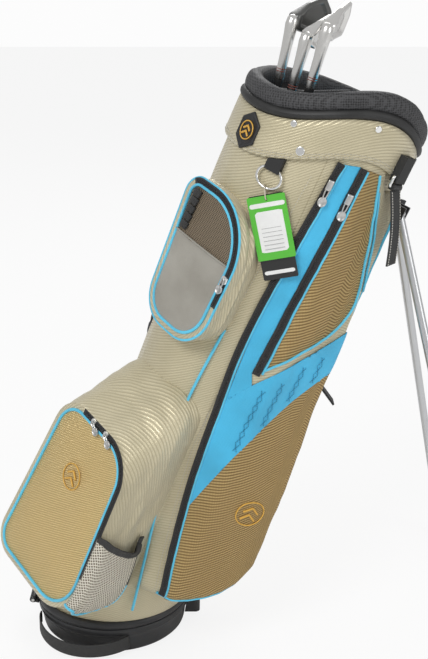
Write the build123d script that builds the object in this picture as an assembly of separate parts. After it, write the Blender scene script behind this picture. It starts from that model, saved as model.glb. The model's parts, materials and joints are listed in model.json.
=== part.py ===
"""Golf stand bag with three irons, leaning on its two legs.

Millimetres. The world frame has +Z up, +X towards the legs, and its origin on the floor
under the middle of the base cup. The bag itself is drawn in its own frame, with Z along the
bag, +X on the leg side and the seam of the base cup at Z = 0, and is then leaned by LEAN.
"""
import os
from math import cos, radians, sin, sqrt, tan

from build123d import *

os.makedirs("parts", exist_ok=True)

# ---------------------------------------------------------------- driving dimensions
LEAN = 23.0                 # lean of the bag from upright, degrees
GAP = 0.3                   # seating clearance, and clearance between moving pieces
PIN_CLEARANCE = 0.08        # radial clearance of a pin in its bore
SEAM_Z = 45.0               # height of the cup's top edge

TUBE_FOOT_R = 104.0         # bag radius at the seam
TUBE_TOP_R = 121.0          # bag radius under the collar
TUBE_TOP_Z = 830.0
TUBE_WALL = 3.0
BELT = 5.0                  # how far the ring round the foot stands out
BELT_H = 12.0
PLATE_T = 4.0

CUP_WALL = 4.0
CUP_TAPER = 7.0

COLLAR_R = 126.0
TRIM_R = 129.0
PAD_R = 127.0
PAD_BORE_R = 106.0
BAND_Z = 770.0              # lower edge of the band, on the bag's axis
TRIM_Z = 825.0
PAD_Z = 837.0
RIM_Z = 860.0
WAVE_TERMS = (12.5, 53.3, -35.0, -46.7)     # height of the collar's edges, by powers of x / COLLAR_R

SKIN = 2.0                  # thickness of a sewn-on panel
ZIP_T = 2.4
ZIP_W = 10.0

LEG_R = 6.0
LEG_SPLAY = 28.0
LEG_SWING = 39.5
LEG_PIVOT = (136.0, 24.0, 735.0)
LEG_BARREL_R = 8.0
FOOT_R = 9.0
PIN_R = 3.0
CHEEK_T = 4.0
HINGE_PIN_R = 2.5
KNUCKLE_R = 5.5

ROD_R = 3.0
ROD_X = 124.0
ROD_TOP_Z = 640.0

SHAFT_R = 4.7
HOSEL_R = 6.2
GRIP_R = 12.5
GRIP_L = 265.0

BALL_FACE = -140.0          # direction of the ball pocket round the bag, degrees
BALL_N = 185.0              # distance of its front from the bag's axis
BALL_REAR_N = 70.0
OVAL_N = 140.0
OVAL_REAR_N = 90.0
PIPING = 11.0               # width kept for the zip round a front panel
PULL_T = 1.6
POUCH_T = (84.0, 110.0)     # net pouch: from inside the gusset to its outer face

SIDE_TOP_Z = 800.0          # garment pockets, cut off under the band
STRAP_CUT_Z = 764.0         # and lower down beside the side strap
SIDE_FOOT_Z = 110.0

FAR = 1200.0                # longer than anything it cuts

BAG = Location((0, 0, SEAM_Z)) * Location((0, 0, 0), (0, LEAN, 0))


# ---------------------------------------------------------------- helpers
def write(name, shape, leaned=True):
    """Write one sub-part, leaned with the bag unless it stands on the floor."""
    placed = BAG * shape if leaned else shape
    solids = list(placed.solids())
    export_step(solids[0] if len(solids) == 1 else Compound(children=solids), f"parts/{name}.step")


def tube_r(z):
    return TUBE_FOOT_R + (TUBE_TOP_R - TUBE_FOOT_R) * z / TUBE_TOP_Z


def tube_solid(extra, z0=-60.0, z1=900.0):
    """The bag's outer cone, grown by extra."""
    cone = Cone(tube_r(z0) + extra, tube_r(z1) + extra, z1 - z0,
                align=(Align.CENTER, Align.CENTER, Align.MIN))
    return Pos(0, 0, z0) * cone


def post(radius, z0, z1, x=0.0, y=0.0):
    cylinder = Cylinder(radius, z1 - z0, align=(Align.CENTER, Align.CENTER, Align.MIN))
    return Pos(x, y, z0) * cylinder


def block(x0, x1, y0, y1, z0, z1):
    return Pos((x0 + x1) / 2, (y0 + y1) / 2, (z0 + z1) / 2) * Box(x1 - x0, y1 - y0, z1 - z0)


def above(world_z):
    """Everything above a level plane, in the bag's own frame."""
    slab = Pos(0, 0, world_z + FAR * 2) * Box(FAR * 5, FAR * 5, FAR * 4)
    return BAG.inverse() * slab


def radial(angle, n, t=0.0, z=0.0):
    """Plane facing out from the axis: x runs round the bag, y along it."""
    a = radians(angle)
    out = Vector(cos(a), sin(a), 0)
    round_bag = Vector(-sin(a), cos(a), 0)
    return Plane(origin=out * n + round_bag * t + Vector(0, 0, z), x_dir=round_bag, z_dir=out)


def rounded(points, radii):
    return make_face(FilletPolyline(*points, radius=radii, close=True))


def wave(x):
    """Height of a collar edge above its height on the axis."""
    return sum(term * (x / COLLAR_R) ** k for k, term in enumerate(WAVE_TERMS))


def wave_slab(z_low, z_high):
    """Slab between two wavy edges, the same all along Y."""
    xs = [COLLAR_R * 1.1 * k / 5 for k in range(-5, 6)]
    low = Spline(*[(x, 0, z_low + wave(x)) for x in xs])
    high = Spline(*[(x, 0, z_high + wave(x)) for x in xs])
    edges = [low, Line(low @ 1, high @ 1), high, Line(high @ 0, low @ 0)]
    return extrude(make_face(edges), amount=FAR / 2, dir=(0, 1, 0), both=True)


def side_prism(points, radii=1.0, start=0.0):
    """Outline seen from the side of the bag, through everything nearer than start."""
    outline = FilletPolyline(*[(x, start, z) for x, z in points], radius=radii, close=True)
    return extrude(make_face(outline), amount=FAR, dir=(0, -1, 0))


def strip(points, width):
    """Strip of one width along a line of points, seen from the side."""
    half = width / 2
    band = []
    for (x0, z0), (x1, z1) in zip(points, points[1:]):
        length = sqrt((x1 - x0) ** 2 + (z1 - z0) ** 2)
        dx, dz = half * (x1 - x0) / length, half * (z1 - z0) / length
        quad = [(x0 + dz, z0 - dx), (x1 + dz, z1 - dx), (x1 - dz, z1 + dx), (x0 - dz, z0 + dx)]
        band.append(make_face(Polyline(*[(x, 0, z) for x, z in quad], close=True)))
    for x, z in points[1:-1]:
        band.append(Plane(origin=(x, 0, z), z_dir=(0, -1, 0)) * Circle(half))
    prisms = [extrude(face, amount=FAR, dir=(0, -1, 0)) for face in band]
    return sum(prisms[1:], prisms[0])


# ---------------------------------------------------------------- base
CUP_A = (TUBE_FOOT_R + BELT) / cos(radians(LEAN))
CUP_B = TUBE_FOOT_R + BELT
HINGE_X = -(CUP_A + KNUCKLE_R + GAP)


def cup_cone(grow, z0=0.0):
    """Solid under the seam, wider at the top, grown by grow all round."""
    foot = Ellipse(CUP_A - CUP_TAPER + grow, CUP_B - CUP_TAPER + grow)
    top = Ellipse(CUP_A + grow, CUP_B + grow)
    return loft([Pos(0, 0, z0) * foot, Pos(0, 0, SEAM_Z) * top])


def knuckle(y0, y1):
    """One hinge knuckle round the pin, with its bore."""
    barrel = Pos(HINGE_X, (y0 + y1) / 2, SEAM_Z) * Rot(90, 0, 0) * Cylinder(KNUCKLE_R, y1 - y0)
    bore = Pos(HINGE_X, (y0 + y1) / 2, SEAM_Z) * Rot(90, 0, 0) * Cylinder(HINGE_PIN_R + PIN_CLEARANCE, FAR)
    return barrel, bore


def base_cup():
    hollow = cup_cone(-CUP_WALL, CUP_WALL)
    cup = cup_cone(0) - hollow
    for y in (-20, 20):
        barrel, bore = knuckle(y - 9, y + 9)
        web = block(HINGE_X, -CUP_A + CUP_WALL, y - 9, y + 9, SEAM_Z - 12, SEAM_Z - 1)
        cup = cup + ((barrel + web) - bore - hollow)
    return cup


def rod_anchor():
    lug = block(CUP_A - CUP_TAPER - 2, CUP_A + 18, -17, 17, 14, 56)
    lug = fillet(lug.edges().filter_by(Axis.Z).sort_by(Axis.X)[-2:], 7)
    return lug - cup_cone(GAP) - block(0, CUP_A + 6, -30, 30, SEAM_Z - 2, FAR)


def lift_loop():
    a0, a1, a2 = radians(-157), radians(-116), radians(-75)
    mid = 30.0
    path = ThreePointArc((CUP_A * cos(a0), CUP_B * sin(a0), 24),
                         ((CUP_A + mid) * cos(a1), (CUP_B + mid) * sin(a1), 24),
                         (CUP_A * cos(a2), CUP_B * sin(a2), 24))
    section = Plane(origin=path @ 0, x_dir=(0, 0, 1), z_dir=path % 0) * Rectangle(22, 3)
    return sweep(section, path=path) - cup_cone(GAP)


def base_ring():
    plate = Pos(0, 0, SEAM_Z + GAP) * extrude(Ellipse(CUP_A, CUP_B), amount=PLATE_T)
    belt = Pos(0, 0, SEAM_Z + GAP) * extrude(Ellipse(CUP_A, CUP_B), amount=BELT_H)
    belt = belt - BAG * tube_solid(GAP)
    ring = plate + belt
    barrel, bore = knuckle(-10, 10)
    web = block(HINGE_X, -CUP_A + 4, -10, 10, SEAM_Z + GAP, SEAM_Z + 8)
    ring = ring + ((barrel + web) - BAG * tube_solid(GAP))
    return ring - bore - cup_cone(GAP)


def hinge_pin():
    return Pos(HINGE_X, 0, SEAM_Z) * Rot(90, 0, 0) * Cylinder(HINGE_PIN_R, 62)


# ---------------------------------------------------------------- tube and collar
def body_tube():
    outer = tube_solid(0, -60, TUBE_TOP_Z + 40)
    inner = tube_solid(-TUBE_WALL, -80, TUBE_TOP_Z + 60)
    shell = (outer - inner) & wave_slab(-TUBE_TOP_Z, TRIM_Z)
    return shell & above(SEAM_Z + GAP * 2 + PLATE_T)


def collar_ring(bore, radius, z0, z1):
    ring = post(radius, z0 - 60, z1 + 60) - post(bore, z0 - 80, z1 + 80)
    return ring & wave_slab(z0, z1)


def collar_band():
    return collar_ring(TUBE_FOOT_R, COLLAR_R, BAND_Z, TRIM_Z) - tube_solid(GAP)


def top_divider():
    """Two bars that part the mouth into three."""
    bars = block(16, 24, -120, 120, 600, 950) + block(-120, 16, 30, 38, 600, 950)
    bars = bars & post(PAD_BORE_R - GAP, 600, 950)
    return bars & wave_slab(PAD_Z - 30, PAD_Z + 8)


def emblem_patch():
    face = radial(-146, 100, z=766) * RegularPolygon(23.5, 6, major_radius=False, rotation=30)
    block_out = extrude(face, amount=60)
    return block_out & (post(COLLAR_R + 3.3, 700, 900) - post(COLLAR_R + GAP, 700, 900))


def band_rivets():
    domes = []
    for angle, z, r in ((-118, 803, 4.5), (-72, 839, 4.5), (-22, 810, 4.5), (-30, 786, 4.5), (-108, 776, 6)):
        plane = radial(angle, COLLAR_R - 1.5, z=z)
        stud = extrude(plane * Circle(r), amount=4)
        stud = fillet(stud.faces().sort_by(SortBy.DISTANCE)[-1].edges(), 1.2)
        domes.append(stud - post(COLLAR_R + GAP / 3, 600, 950))
    return Compound(children=[s for d in domes for s in d.solids()])


# ---------------------------------------------------------------- pockets on the front
def ball_outline(n, top, foot, half_top=82.0, half_foot=102.0, flare=10.0):
    """Outline of the ball pocket, flared and with a deep round corner where the net pouch sits."""
    shape = rounded([(-half_foot, foot), (half_foot - 6 + flare, foot), (half_top + 4 + flare, top),
                     (-half_top + 10, top)], [38, 70, 58, 50])
    return radial(BALL_FACE, n) * shape


def ball_gusset():
    rear = ball_outline(BALL_REAR_N, 430, 22, 76, 88, flare=0)
    front = ball_outline(BALL_N, 328, 42)
    return loft([rear, front]) - tube_solid(GAP)


def ball_front():
    shape = offset(ball_outline(BALL_N, 328, 42), amount=-PIPING)
    return extrude(shape, amount=SKIN, dir=radial(BALL_FACE, 0).z_dir)


def ball_zip():
    outer = offset(ball_outline(BALL_N, 328, 42), amount=-1)
    inner = offset(ball_outline(BALL_N, 328, 42), amount=-PIPING + GAP)
    ring = extrude(outer - inner, amount=ZIP_T, dir=radial(BALL_FACE, 0).z_dir)
    return ring & block(-FAR, FAR, -FAR, FAR, 165, FAR)


def oval_outline(n, grow=0.0):
    shape = rounded([(-48 - grow, 478 - grow), (74 + grow, 478 - grow), (82 + grow, 686 + grow),
                     (-62 - grow, 684 + grow)], [48, 54, 84, 26])
    return radial(BALL_FACE, n) * shape


def oval_gusset():
    return loft([oval_outline(OVAL_REAR_N, -7), oval_outline(OVAL_N)]) - tube_solid(GAP)


def oval_front_shape():
    return offset(oval_outline(OVAL_N), amount=-PIPING)


def oval_front():
    return extrude(oval_front_shape(), amount=SKIN, dir=radial(BALL_FACE, 0).z_dir)


def oval_pouch():
    lifted = oval_front_shape().moved(Location(radial(BALL_FACE, 0).z_dir * (SKIN + GAP)))
    shape = extrude(lifted, amount=SKIN, dir=radial(BALL_FACE, 0).z_dir)
    return shape & block(-FAR, FAR, -FAR, FAR, 0, 606)


def tee_holder():
    """Gathered elastic with a row of loops beside the upper edge."""
    loops = []
    for k in range(5):
        plane = radial(BALL_FACE, OVAL_N + SKIN + GAP, t=-34, z=616 + 11.5 * k)
        loop = extrude(plane * RectangleRounded(13, 10, 3), amount=5)
        loops += loop.solids()
    return Compound(children=loops)


def oval_zip():
    outer = offset(oval_outline(OVAL_N), amount=-1)
    inner = offset(oval_outline(OVAL_N), amount=-PIPING + GAP)
    ring = extrude(outer - inner, amount=ZIP_T, dir=radial(BALL_FACE, 0).z_dir)
    keep = block(-FAR, FAR, -FAR, FAR, 540, FAR)
    left_out = extrude(radial(BALL_FACE, 100, t=-65, z=560) * Rectangle(70, 220), amount=FAR)
    return (ring & keep) - left_out


def pull(n, t, z, turn, length=22.0):
    """Oval zip pull that hangs from its slider."""
    plane = radial(BALL_FACE, n, t=t, z=z)
    slider = extrude(plane * RectangleRounded(9, 11, 2.5), amount=3)
    lifted = plane.offset(3 + GAP)
    tag = lifted * (Rot(0, 0, turn) * Pos(0, -length / 2 + 2) * SlotOverall(length, 11, rotation=90))
    return slider, extrude(tag, amount=PULL_T)


PULLS = {             # place on the pocket's face, and turn from hanging straight down
    "ball_pull_a": (BALL_N + ZIP_T + GAP, 2.0, 322.0, 62.0),
    "ball_pull_b": (BALL_N + ZIP_T + GAP, 33.0, 322.0, 62.0),
    "oval_pull": (OVAL_N + ZIP_T + GAP, 73.0, 590.0, 0.0),
}


def mesh_pouch():
    """Net pouch on the camera side of the ball pocket."""
    plane = Plane(origin=radial(BALL_FACE, 0).x_dir * POUCH_T[0], x_dir=radial(BALL_FACE, 0).z_dir,
                  z_dir=radial(BALL_FACE, 0).x_dir)
    outline = rounded([(86, -74), (130, -58), (183, -108), (183, -196), (146, -180), (98, -196)],
                      [8, 24, 20, 5, 30, 5])
    return extrude(plane * outline, amount=POUCH_T[1] - POUCH_T[0]) - ball_gusset() - tube_solid(GAP)


# ---------------------------------------------------------------- garment pockets
SIDE_RIM_R = (134.0, 192.0)      # corner of the pocket, top and foot
SIDE_MID_R = (124.2, 140.0)      # middle of its front, top and foot
SIDE_ANGLES = (-91.0, -64.0, -31.0, -19.0)


def polar(r, angle):
    return (r * cos(radians(angle)), r * sin(radians(angle)))


def side_section(z, k, grow, hand):
    start, mid, rim, end = SIDE_ANGLES
    r = tube_r(z)
    points = [polar(r * 0.6, start), polar(r + grow, start), polar(SIDE_MID_R[k] + grow, mid),
              polar(SIDE_RIM_R[k] + grow, rim), polar(r + grow, end), polar(r * 0.6, end)]
    points = [(x, y * hand) for x, y in points]
    return Pos(0, 0, z) * make_face(Polyline(*points, close=True))


def side_loft(grow, hand=1):
    return loft([side_section(SIDE_FOOT_Z, 1, grow, hand), side_section(SIDE_TOP_Z, 0, grow, hand)],
                ruled=True)


def side_top_cut():
    """What the band and the side strap take off the top of a garment pocket."""
    over_band = wave_slab(BAND_Z - GAP, SIDE_TOP_Z + 120)
    return over_band + block(85, FAR, -FAR, FAR, STRAP_CUT_Z, SIDE_TOP_Z + 120)


def side_skin(lift, thick, hand=1):
    return side_loft(lift + thick, hand) - side_loft(lift, hand) - tube_solid(GAP) - side_top_cut()


def garment_pocket(hand=1):
    return side_loft(0, hand) - tube_solid(GAP) - side_top_cut()


ZIP_LINE = [(16.5, 796), (-1, 540), (6, 400), (20, 262), (44, 122)]
SECOND_ZIP = [(46.8, 799), (33, 474)]
ZIP_SIDE = ZIP_W / 2 + 0.5


def garment_upper():
    outline = [(46.8 + ZIP_SIDE, 799), (67, 799), (78, 760), (100, 700), (121, 610), (112, 566), (74, 522),
               (33 + ZIP_SIDE, 478)]
    return side_skin(GAP, SKIN) & side_prism(outline, 4, start=-60)


def wave_edge():
    return [(28, 250), (47, 324), (66, 380), (96, 446), (141, 514), (200, 590)]


def garment_wave():
    """Bright band across the pocket, with the stripe between the two zips."""
    top = [(200, 660), (135, 570), (73, 502), (33 + ZIP_SIDE, 464), (33 - ZIP_SIDE, 464),
           (46.8 - ZIP_SIDE, 799), (16.5 + ZIP_SIDE, 796), (-1 + ZIP_SIDE, 540), (6 + ZIP_SIDE, 420)]
    return side_skin(GAP, SKIN) & side_prism(wave_edge() + top, 1)


def garment_lower():
    outline = wave_edge()
    outline = [(x, z - 1.5) for x, z in outline] + [(200, 118), (52, 118)]
    return side_skin(GAP, SKIN) & side_prism(outline, 2)


def long_zip():
    return side_skin(GAP * 2 + SKIN, ZIP_T) & strip(ZIP_LINE, ZIP_W)


def second_zip():
    return side_skin(GAP * 2 + SKIN, ZIP_T) & strip(SECOND_ZIP, ZIP_W)


def slider_and_tag(x, z, length=24.0):
    """Slider and oval tag that run together down a straight zip on the front panel."""
    lift = GAP * 4 + SKIN + ZIP_T
    ends = [(x - 5, z - 6), (x + 5, z - 6), (x + 5, z + 6), (x - 5, z + 6)]
    body = side_skin(lift, 3.0) & side_prism(ends, 2)
    tag_line = [(x - 6, z - 5 - length), (x + 6, z - 5 - length), (x + 5, z - 2), (x - 5, z - 2)]
    tag = side_skin(lift + 1, PULL_T) & side_prism(tag_line, 3)
    return body + tag


# ---------------------------------------------------------------- back
def hip_pad():
    shape = radial(143, 60, z=520) * RectangleRounded(84, 236, 24)
    return extrude(shape, amount=120) & (tube_solid(14) - tube_solid(GAP))


STRAP_ANGLE = 112.0
STRAP_TOP_Z = 730.0
STRAP_FOOT_Z = 240.0


def shoulder_strap():
    plane = radial(STRAP_ANGLE, 0)

    def at(r, z):
        return plane.z_dir * r + Vector(0, 0, z)

    mid_z = (STRAP_TOP_Z + STRAP_FOOT_Z) / 2
    path = ThreePointArc(at(tube_r(STRAP_TOP_Z) + 2, STRAP_TOP_Z), at(tube_r(mid_z) + 58, mid_z),
                         at(tube_r(STRAP_FOOT_Z) + 2, STRAP_FOOT_Z))
    section = Plane(origin=path @ 0, x_dir=plane.x_dir, z_dir=path % 0) * RectangleRounded(48, 11, 5)
    return sweep(section, path=path) - tube_solid(GAP)


# ---------------------------------------------------------------- legs
LEG_FALL = sin(radians(LEG_SWING)) * cos(radians(LEG_SPLAY)) * sin(radians(LEAN)) \
    + cos(radians(LEG_SWING)) * cos(radians(LEAN))
PIVOT_HEIGHT = SEAM_Z - LEG_PIVOT[0] * sin(radians(LEAN)) + LEG_PIVOT[2] * cos(radians(LEAN))
LEG_LENGTH = (PIVOT_HEIGHT - FOOT_R) / LEG_FALL


def leg_frame(hand):
    """Frame at a leg's pivot: x out in its swing plane, y along its pin."""
    x, y, z = LEG_PIVOT
    return Location((x, y * hand, z), (0, 0, LEG_SPLAY * hand))


def swung(shape, hand):
    return leg_frame(hand) * Rot(0, -LEG_SWING, 0) * shape


def leg(hand):
    tube = post(LEG_R, -LEG_LENGTH + 26, 0) - post(LEG_R - 1.2, -LEG_LENGTH + 20, -60)
    barrel = Rot(90, 0, 0) * Cylinder(LEG_BARREL_R, 14)
    bore = Rot(90, 0, 0) * Cylinder(PIN_R + PIN_CLEARANCE, 40)
    return swung(tube + barrel - bore, hand)


def foot(hand):
    ball = Pos(0, 0, -LEG_LENGTH) * Sphere(FOOT_R)
    sleeve = post(FOOT_R, -LEG_LENGTH, -LEG_LENGTH + 34)
    socket = post(LEG_R + GAP, -LEG_LENGTH + 26 - GAP, 0)
    return swung(ball + sleeve - socket, hand)


def leg_pins():
    pins = [leg_frame(hand) * Rot(90, 0, 0) * Cylinder(PIN_R, 2 * (7.3 + CHEEK_T)) for hand in (-1, 1)]
    return Compound(children=[s for p in pins for s in p.solids()])


def leg_bracket():
    x, y, z = LEG_PIVOT
    back = block(100, x - LEG_BARREL_R - 2, -36, 36, z - 20, z + 18)
    back = back & post(x - LEG_BARREL_R - 2, 0, 900)
    for hand in (-1, 1):
        for side in (-1, 1):
            cheek = Pos(-6, side * (7.3 + CHEEK_T / 2), 0) * Box(30, CHEEK_T, 22)
            back = back + leg_frame(hand) * cheek
        back = back - leg_frame(hand) * Rot(90, 0, 0) * Cylinder(PIN_R + PIN_CLEARANCE, 60)
        back = back - leg_frame(hand) * Box(2 * LEG_BARREL_R + 4, 14.4, 80)
    return back - tube_solid(GAP)


ROD_FOOT_Z = (58.5 - SEAM_Z + ROD_X * sin(radians(LEAN))) / cos(radians(LEAN)) + 1


def push_rod():
    rod = post(ROD_R, ROD_FOOT_Z, ROD_TOP_Z, ROD_X)
    return rod + block(ROD_X - 5, ROD_X + 5, -28, 28, ROD_TOP_Z - 12, ROD_TOP_Z)


def rod_guides():
    clips = []
    for z in (230, 462):
        clip = block(90, ROD_X + 8, -9, 9, z - 9, z + 9) - tube_solid(GAP)
        clips += (clip - post(ROD_R + GAP, 0, 700, ROD_X)).solids()
    return Compound(children=clips)


def leg_tie():
    """Webbing tongue on the upper guide, for tying the folded legs."""
    x0 = ROD_X + 8 + GAP
    plane = Plane(origin=(x0, 0, 462), x_dir=(0, 1, 0), z_dir=(1, 0, 0))
    pad = extrude(plane * Rectangle(18, 12), amount=3)
    tongue = Pos(x0 + 26, 0, 446) * Rot(0, 32, 0) * Box(54, 20, 3)
    return pad + tongue


# ---------------------------------------------------------------- ring, tags, hanging strap
RING_ANGLE = -119.0
RING_Z = 741.0
RING_LIFT = 4.5
RING_WIRE_R = 1.8
RING_DROP = 27.0
TAG_FACE = -101.0
TAG_TURN = 35.0


def ring_plane(t=0.0, z=0.0):
    return radial(RING_ANGLE, tube_r(RING_Z) + RING_LIFT, t=t, z=RING_Z + z)


def ring_tab():
    plane = radial(RING_ANGLE, tube_r(RING_Z) - 4, z=RING_Z + 8)
    tab = extrude(plane * Rectangle(22, 26), amount=12) - tube_solid(GAP)
    bore = ring_plane() * Rot(0, 90, 0) * Cylinder(RING_WIRE_R + GAP, 60)
    under_band = post(COLLAR_R + 60, 600, 950) & wave_slab(BAND_Z - GAP, 950)
    return tab - bore - under_band


def d_ring():
    plane = ring_plane()
    outline = [(-17, 0), (17, 0), (17, -15), (8, -RING_DROP), (-8, -RING_DROP), (-17, -15)]
    path = FilletPolyline(*[plane.from_local_coords((x, y, 0)) for x, y in outline], radius=4.5, close=True)
    start = path @ 0
    return sweep(Plane(origin=start, z_dir=path % 0) * Circle(RING_WIRE_R), path=path)


def tag_plane():
    """Plane of the tags, turned, with its origin on the ring's lower bar."""
    bar = ring_plane(z=-RING_DROP).origin
    face = radial(TAG_FACE, 0)
    turn = radians(TAG_TURN)
    x_dir = face.x_dir * cos(turn) + Vector(0, 0, 1) * sin(turn)
    return Plane(origin=bar, x_dir=x_dir, z_dir=face.z_dir)


def tag(width, length, lift, drop):
    card = tag_plane().offset(lift) * (Pos(0, -drop - length / 2) * RectangleRounded(width, length, 2))
    hole = tag_plane().offset(lift - 5) * (Pos(0, -15) * Circle(1.6))
    return extrude(card, amount=0.9) - extrude(hole, amount=12)


def tag_loop():
    """Cord loop round the ring's lower bar and through the holes of both tags."""
    plane = tag_plane()
    outline = [(3.6, -4.0), (3.6, 4.4), (-15, 11.2), (-15, 0.2)]
    points = [plane.from_local_coords((0, down, out)) for down, out in outline]
    path = FilletPolyline(*points, radius=1.6, close=True)
    return sweep(Plane(origin=path @ 0, z_dir=path % 0) * Circle(0.8), path=path)


BUCKLE_ANGLE = -42.0
BUCKLE_LIFT = 7.0
BUCKLE_Z = (790.0, 776.0)       # upper and lower bars of the buckle
BUCKLE_HALF = 15.0
BUCKLE_WIRE_R = 2.0
WEBBING = 22.0
SIDE_STRAP_L = 104.0


def buckle_bar(z):
    """Plane on one bar of the buckle, its x along the bar."""
    return radial(BUCKLE_ANGLE, COLLAR_R + BUCKLE_LIFT, z=z)


def buckle_rod(z, radius, length):
    return buckle_bar(z) * Rot(0, 90, 0) * Cylinder(radius, length)


def strap_fold():
    """Webbing fold on the band that holds the buckle."""
    fold = block(-WEBBING / 2, WEBBING / 2, -8, 28, -12, 4.5)
    fold = buckle_bar(BUCKLE_Z[0]) * fold
    return fold - post(COLLAR_R + GAP, 600, 950) - buckle_rod(BUCKLE_Z[0], BUCKLE_WIRE_R + GAP, 60)


def strap_buckle():
    top, low = BUCKLE_Z
    plane = buckle_bar(top)
    corners = [(-BUCKLE_HALF, 0), (BUCKLE_HALF, 0), (BUCKLE_HALF, low - top), (-BUCKLE_HALF, low - top)]
    path = FilletPolyline(*[plane.from_local_coords((x, y, 0)) for x, y in corners], radius=3, close=True)
    return sweep(Plane(origin=path @ 0, z_dir=path % 0) * Circle(BUCKLE_WIRE_R), path=path)


def side_strap():
    """Webbing that hangs straight down from the buckle's lower bar."""
    low = BUCKLE_Z[1]
    bar = BAG * buckle_bar(low).location
    turned = Location(bar.position) * Rot(0, 0, BUCKLE_ANGLE + 90)
    band = turned * Pos(0, 0, -SIDE_STRAP_L / 2 - 3) * Box(WEBBING, 3, SIDE_STRAP_L)
    eye = buckle_rod(low, BUCKLE_WIRE_R + 2.6, WEBBING)
    return (BAG.inverse() * band) + eye - buckle_rod(low, BUCKLE_WIRE_R + GAP, 60)


# ---------------------------------------------------------------- irons
IRONS = {            # heel in the bag's frame, tilt of the shaft, direction of the toe, loft, size
    "iron_a": ((-101.0, 8.0, 911.0), 11.0, 48.0, -5.0, 0.92),
    "iron_b": ((-78.0, -18.0, 900.0), 8.5, 57.0, 8.0, 0.85),
    "iron_c": ((-61.0, -42.0, 922.0), 8.0, 66.0, 8.0, 1.0),
}
LIE = 62.0
BLADE_T = 9.0
HOSEL_L = 80.0
FERRULE_L = 16.0


def grip_depth(x, z, tilt):
    """Distance along the shaft from the heel to the middle of the grip's round end."""
    rise = tan(radians(LEAN))
    run = tan(radians(tilt))
    floor = (GAP + PLATE_T + GRIP_R + GAP) / cos(radians(LEAN)) + 0.2
    end_z = (floor + rise * (x + z * run)) / (1 + rise * run)
    return (z - end_z) / cos(radians(tilt))


def iron(name):
    heel, tilt, toe, loft_angle, size = IRONS[name]
    place = Location(heel) * Rot(0, -tilt, 0)
    low = -grip_depth(heel[0], heel[2], tilt)
    grip_top = low + GRIP_L + 20
    taper = Pos(0, 0, low + 20) * Cone(GRIP_R, 8.6, GRIP_L, align=(Align.CENTER, Align.CENTER, Align.MIN))
    grip = Pos(0, 0, low) * Sphere(GRIP_R) + post(GRIP_R, low, low + 20) + taper
    shaft = post(SHAFT_R + 1.5, low + 10, grip_top + 20) + post(SHAFT_R, grip_top, -HOSEL_L - GAP)
    ferrule = post(HOSEL_R, -HOSEL_L - FERRULE_L, -HOSEL_L - GAP)
    outline = rounded([(-9, -10), (2, 5), (38, 7), (72, 2), (80, -24), (70, -52), (16, -30)],
                      [4, 6, 20, 9, 12, 7, 8])
    blade = extrude(Plane.XZ * scale(outline, by=size), amount=BLADE_T / 2, both=True)
    blade = Rot(0, 0, toe) * Rot(0, -(90 - LIE), 0) * Rot(loft_angle, 0, 0) * blade
    hosel = post(HOSEL_R, -HOSEL_L, -4)
    return place * (grip + shaft + ferrule), place * (hosel + blade)


# ---------------------------------------------------------------- write every sub-part
write("base_cup", base_cup(), leaned=False)
write("rod_anchor", rod_anchor(), leaned=False)
write("lift_loop", lift_loop(), leaned=False)
write("hinge_pin", hinge_pin(), leaned=False)
write("base_ring", base_ring(), leaned=False)

write("body_tube", body_tube())
write("collar_band", collar_band())
write("collar_trim", collar_ring(PAD_BORE_R + 6, TRIM_R, TRIM_Z, PAD_Z))
write("collar_pad", collar_ring(PAD_BORE_R, PAD_R, PAD_Z, RIM_Z))
write("top_divider", top_divider())
write("emblem_patch", emblem_patch())
write("band_rivets", band_rivets())

write("ball_gusset", ball_gusset())
write("ball_front", ball_front())
write("ball_zip", ball_zip())
write("mesh_pouch", mesh_pouch())
write("oval_gusset", oval_gusset())
write("oval_front", oval_front())
write("oval_pouch", oval_pouch())
write("tee_holder", tee_holder())
write("oval_zip", oval_zip())
sliders = []
for name, (n, t, z, turn) in PULLS.items():
    slider, hanging = pull(n, t, z, turn)
    sliders += slider.solids()
    write(name, hanging)
write("front_sliders", Compound(children=sliders))

write("garment_pocket", garment_pocket())
write("garment_upper", garment_upper())
write("garment_wave", garment_wave())
write("garment_lower", garment_lower())
write("long_zip", long_zip())
write("second_zip", second_zip())
write("long_pull", slider_and_tag(13.0, 750))
write("second_pull", slider_and_tag(44.1, 742))
write("far_pocket", garment_pocket(hand=-1))

write("hip_pad", hip_pad())
write("shoulder_strap", shoulder_strap())

write("leg_bracket", leg_bracket())
write("leg_pins", leg_pins())
for name, hand in (("near", -1), ("far", 1)):
    write(f"leg_{name}", leg(hand))
    write(f"foot_{name}", foot(hand))
write("push_rod", push_rod())
write("rod_guides", rod_guides())
write("leg_tie", leg_tie())

write("ring_tab", ring_tab())
write("d_ring", d_ring())
write("tag_green", tag(50, 84, 7.0, 10))
write("tag_black", tag(46, 112, 4.6, 9))
write("tag_loop", tag_loop())
write("strap_fold", strap_fold())
write("strap_buckle", strap_buckle())
write("side_strap", side_strap())

for name in IRONS:
    stick, head = iron(name)
    write(f"{name}_shaft", stick)
    write(f"{name}_head", head)
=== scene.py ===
"""Looks of the golf stand bag: sewn pockets, piping, zips, collar, irons and tags over the CAD frame.

Metres. Sewn parts are laid out in the bag's own frame (Z along the bag, +X on the leg side,
Z = 0 at the seam of the base cup) and are then leaned into the row frame by BAG.
"""
import json
from math import acos, atan2, copysign, cos, degrees, exp, hypot, pi, radians, sin, sqrt, tan

import bmesh
import bpy
import numpy as np
from mathutils import Matrix, Vector, noise


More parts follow.
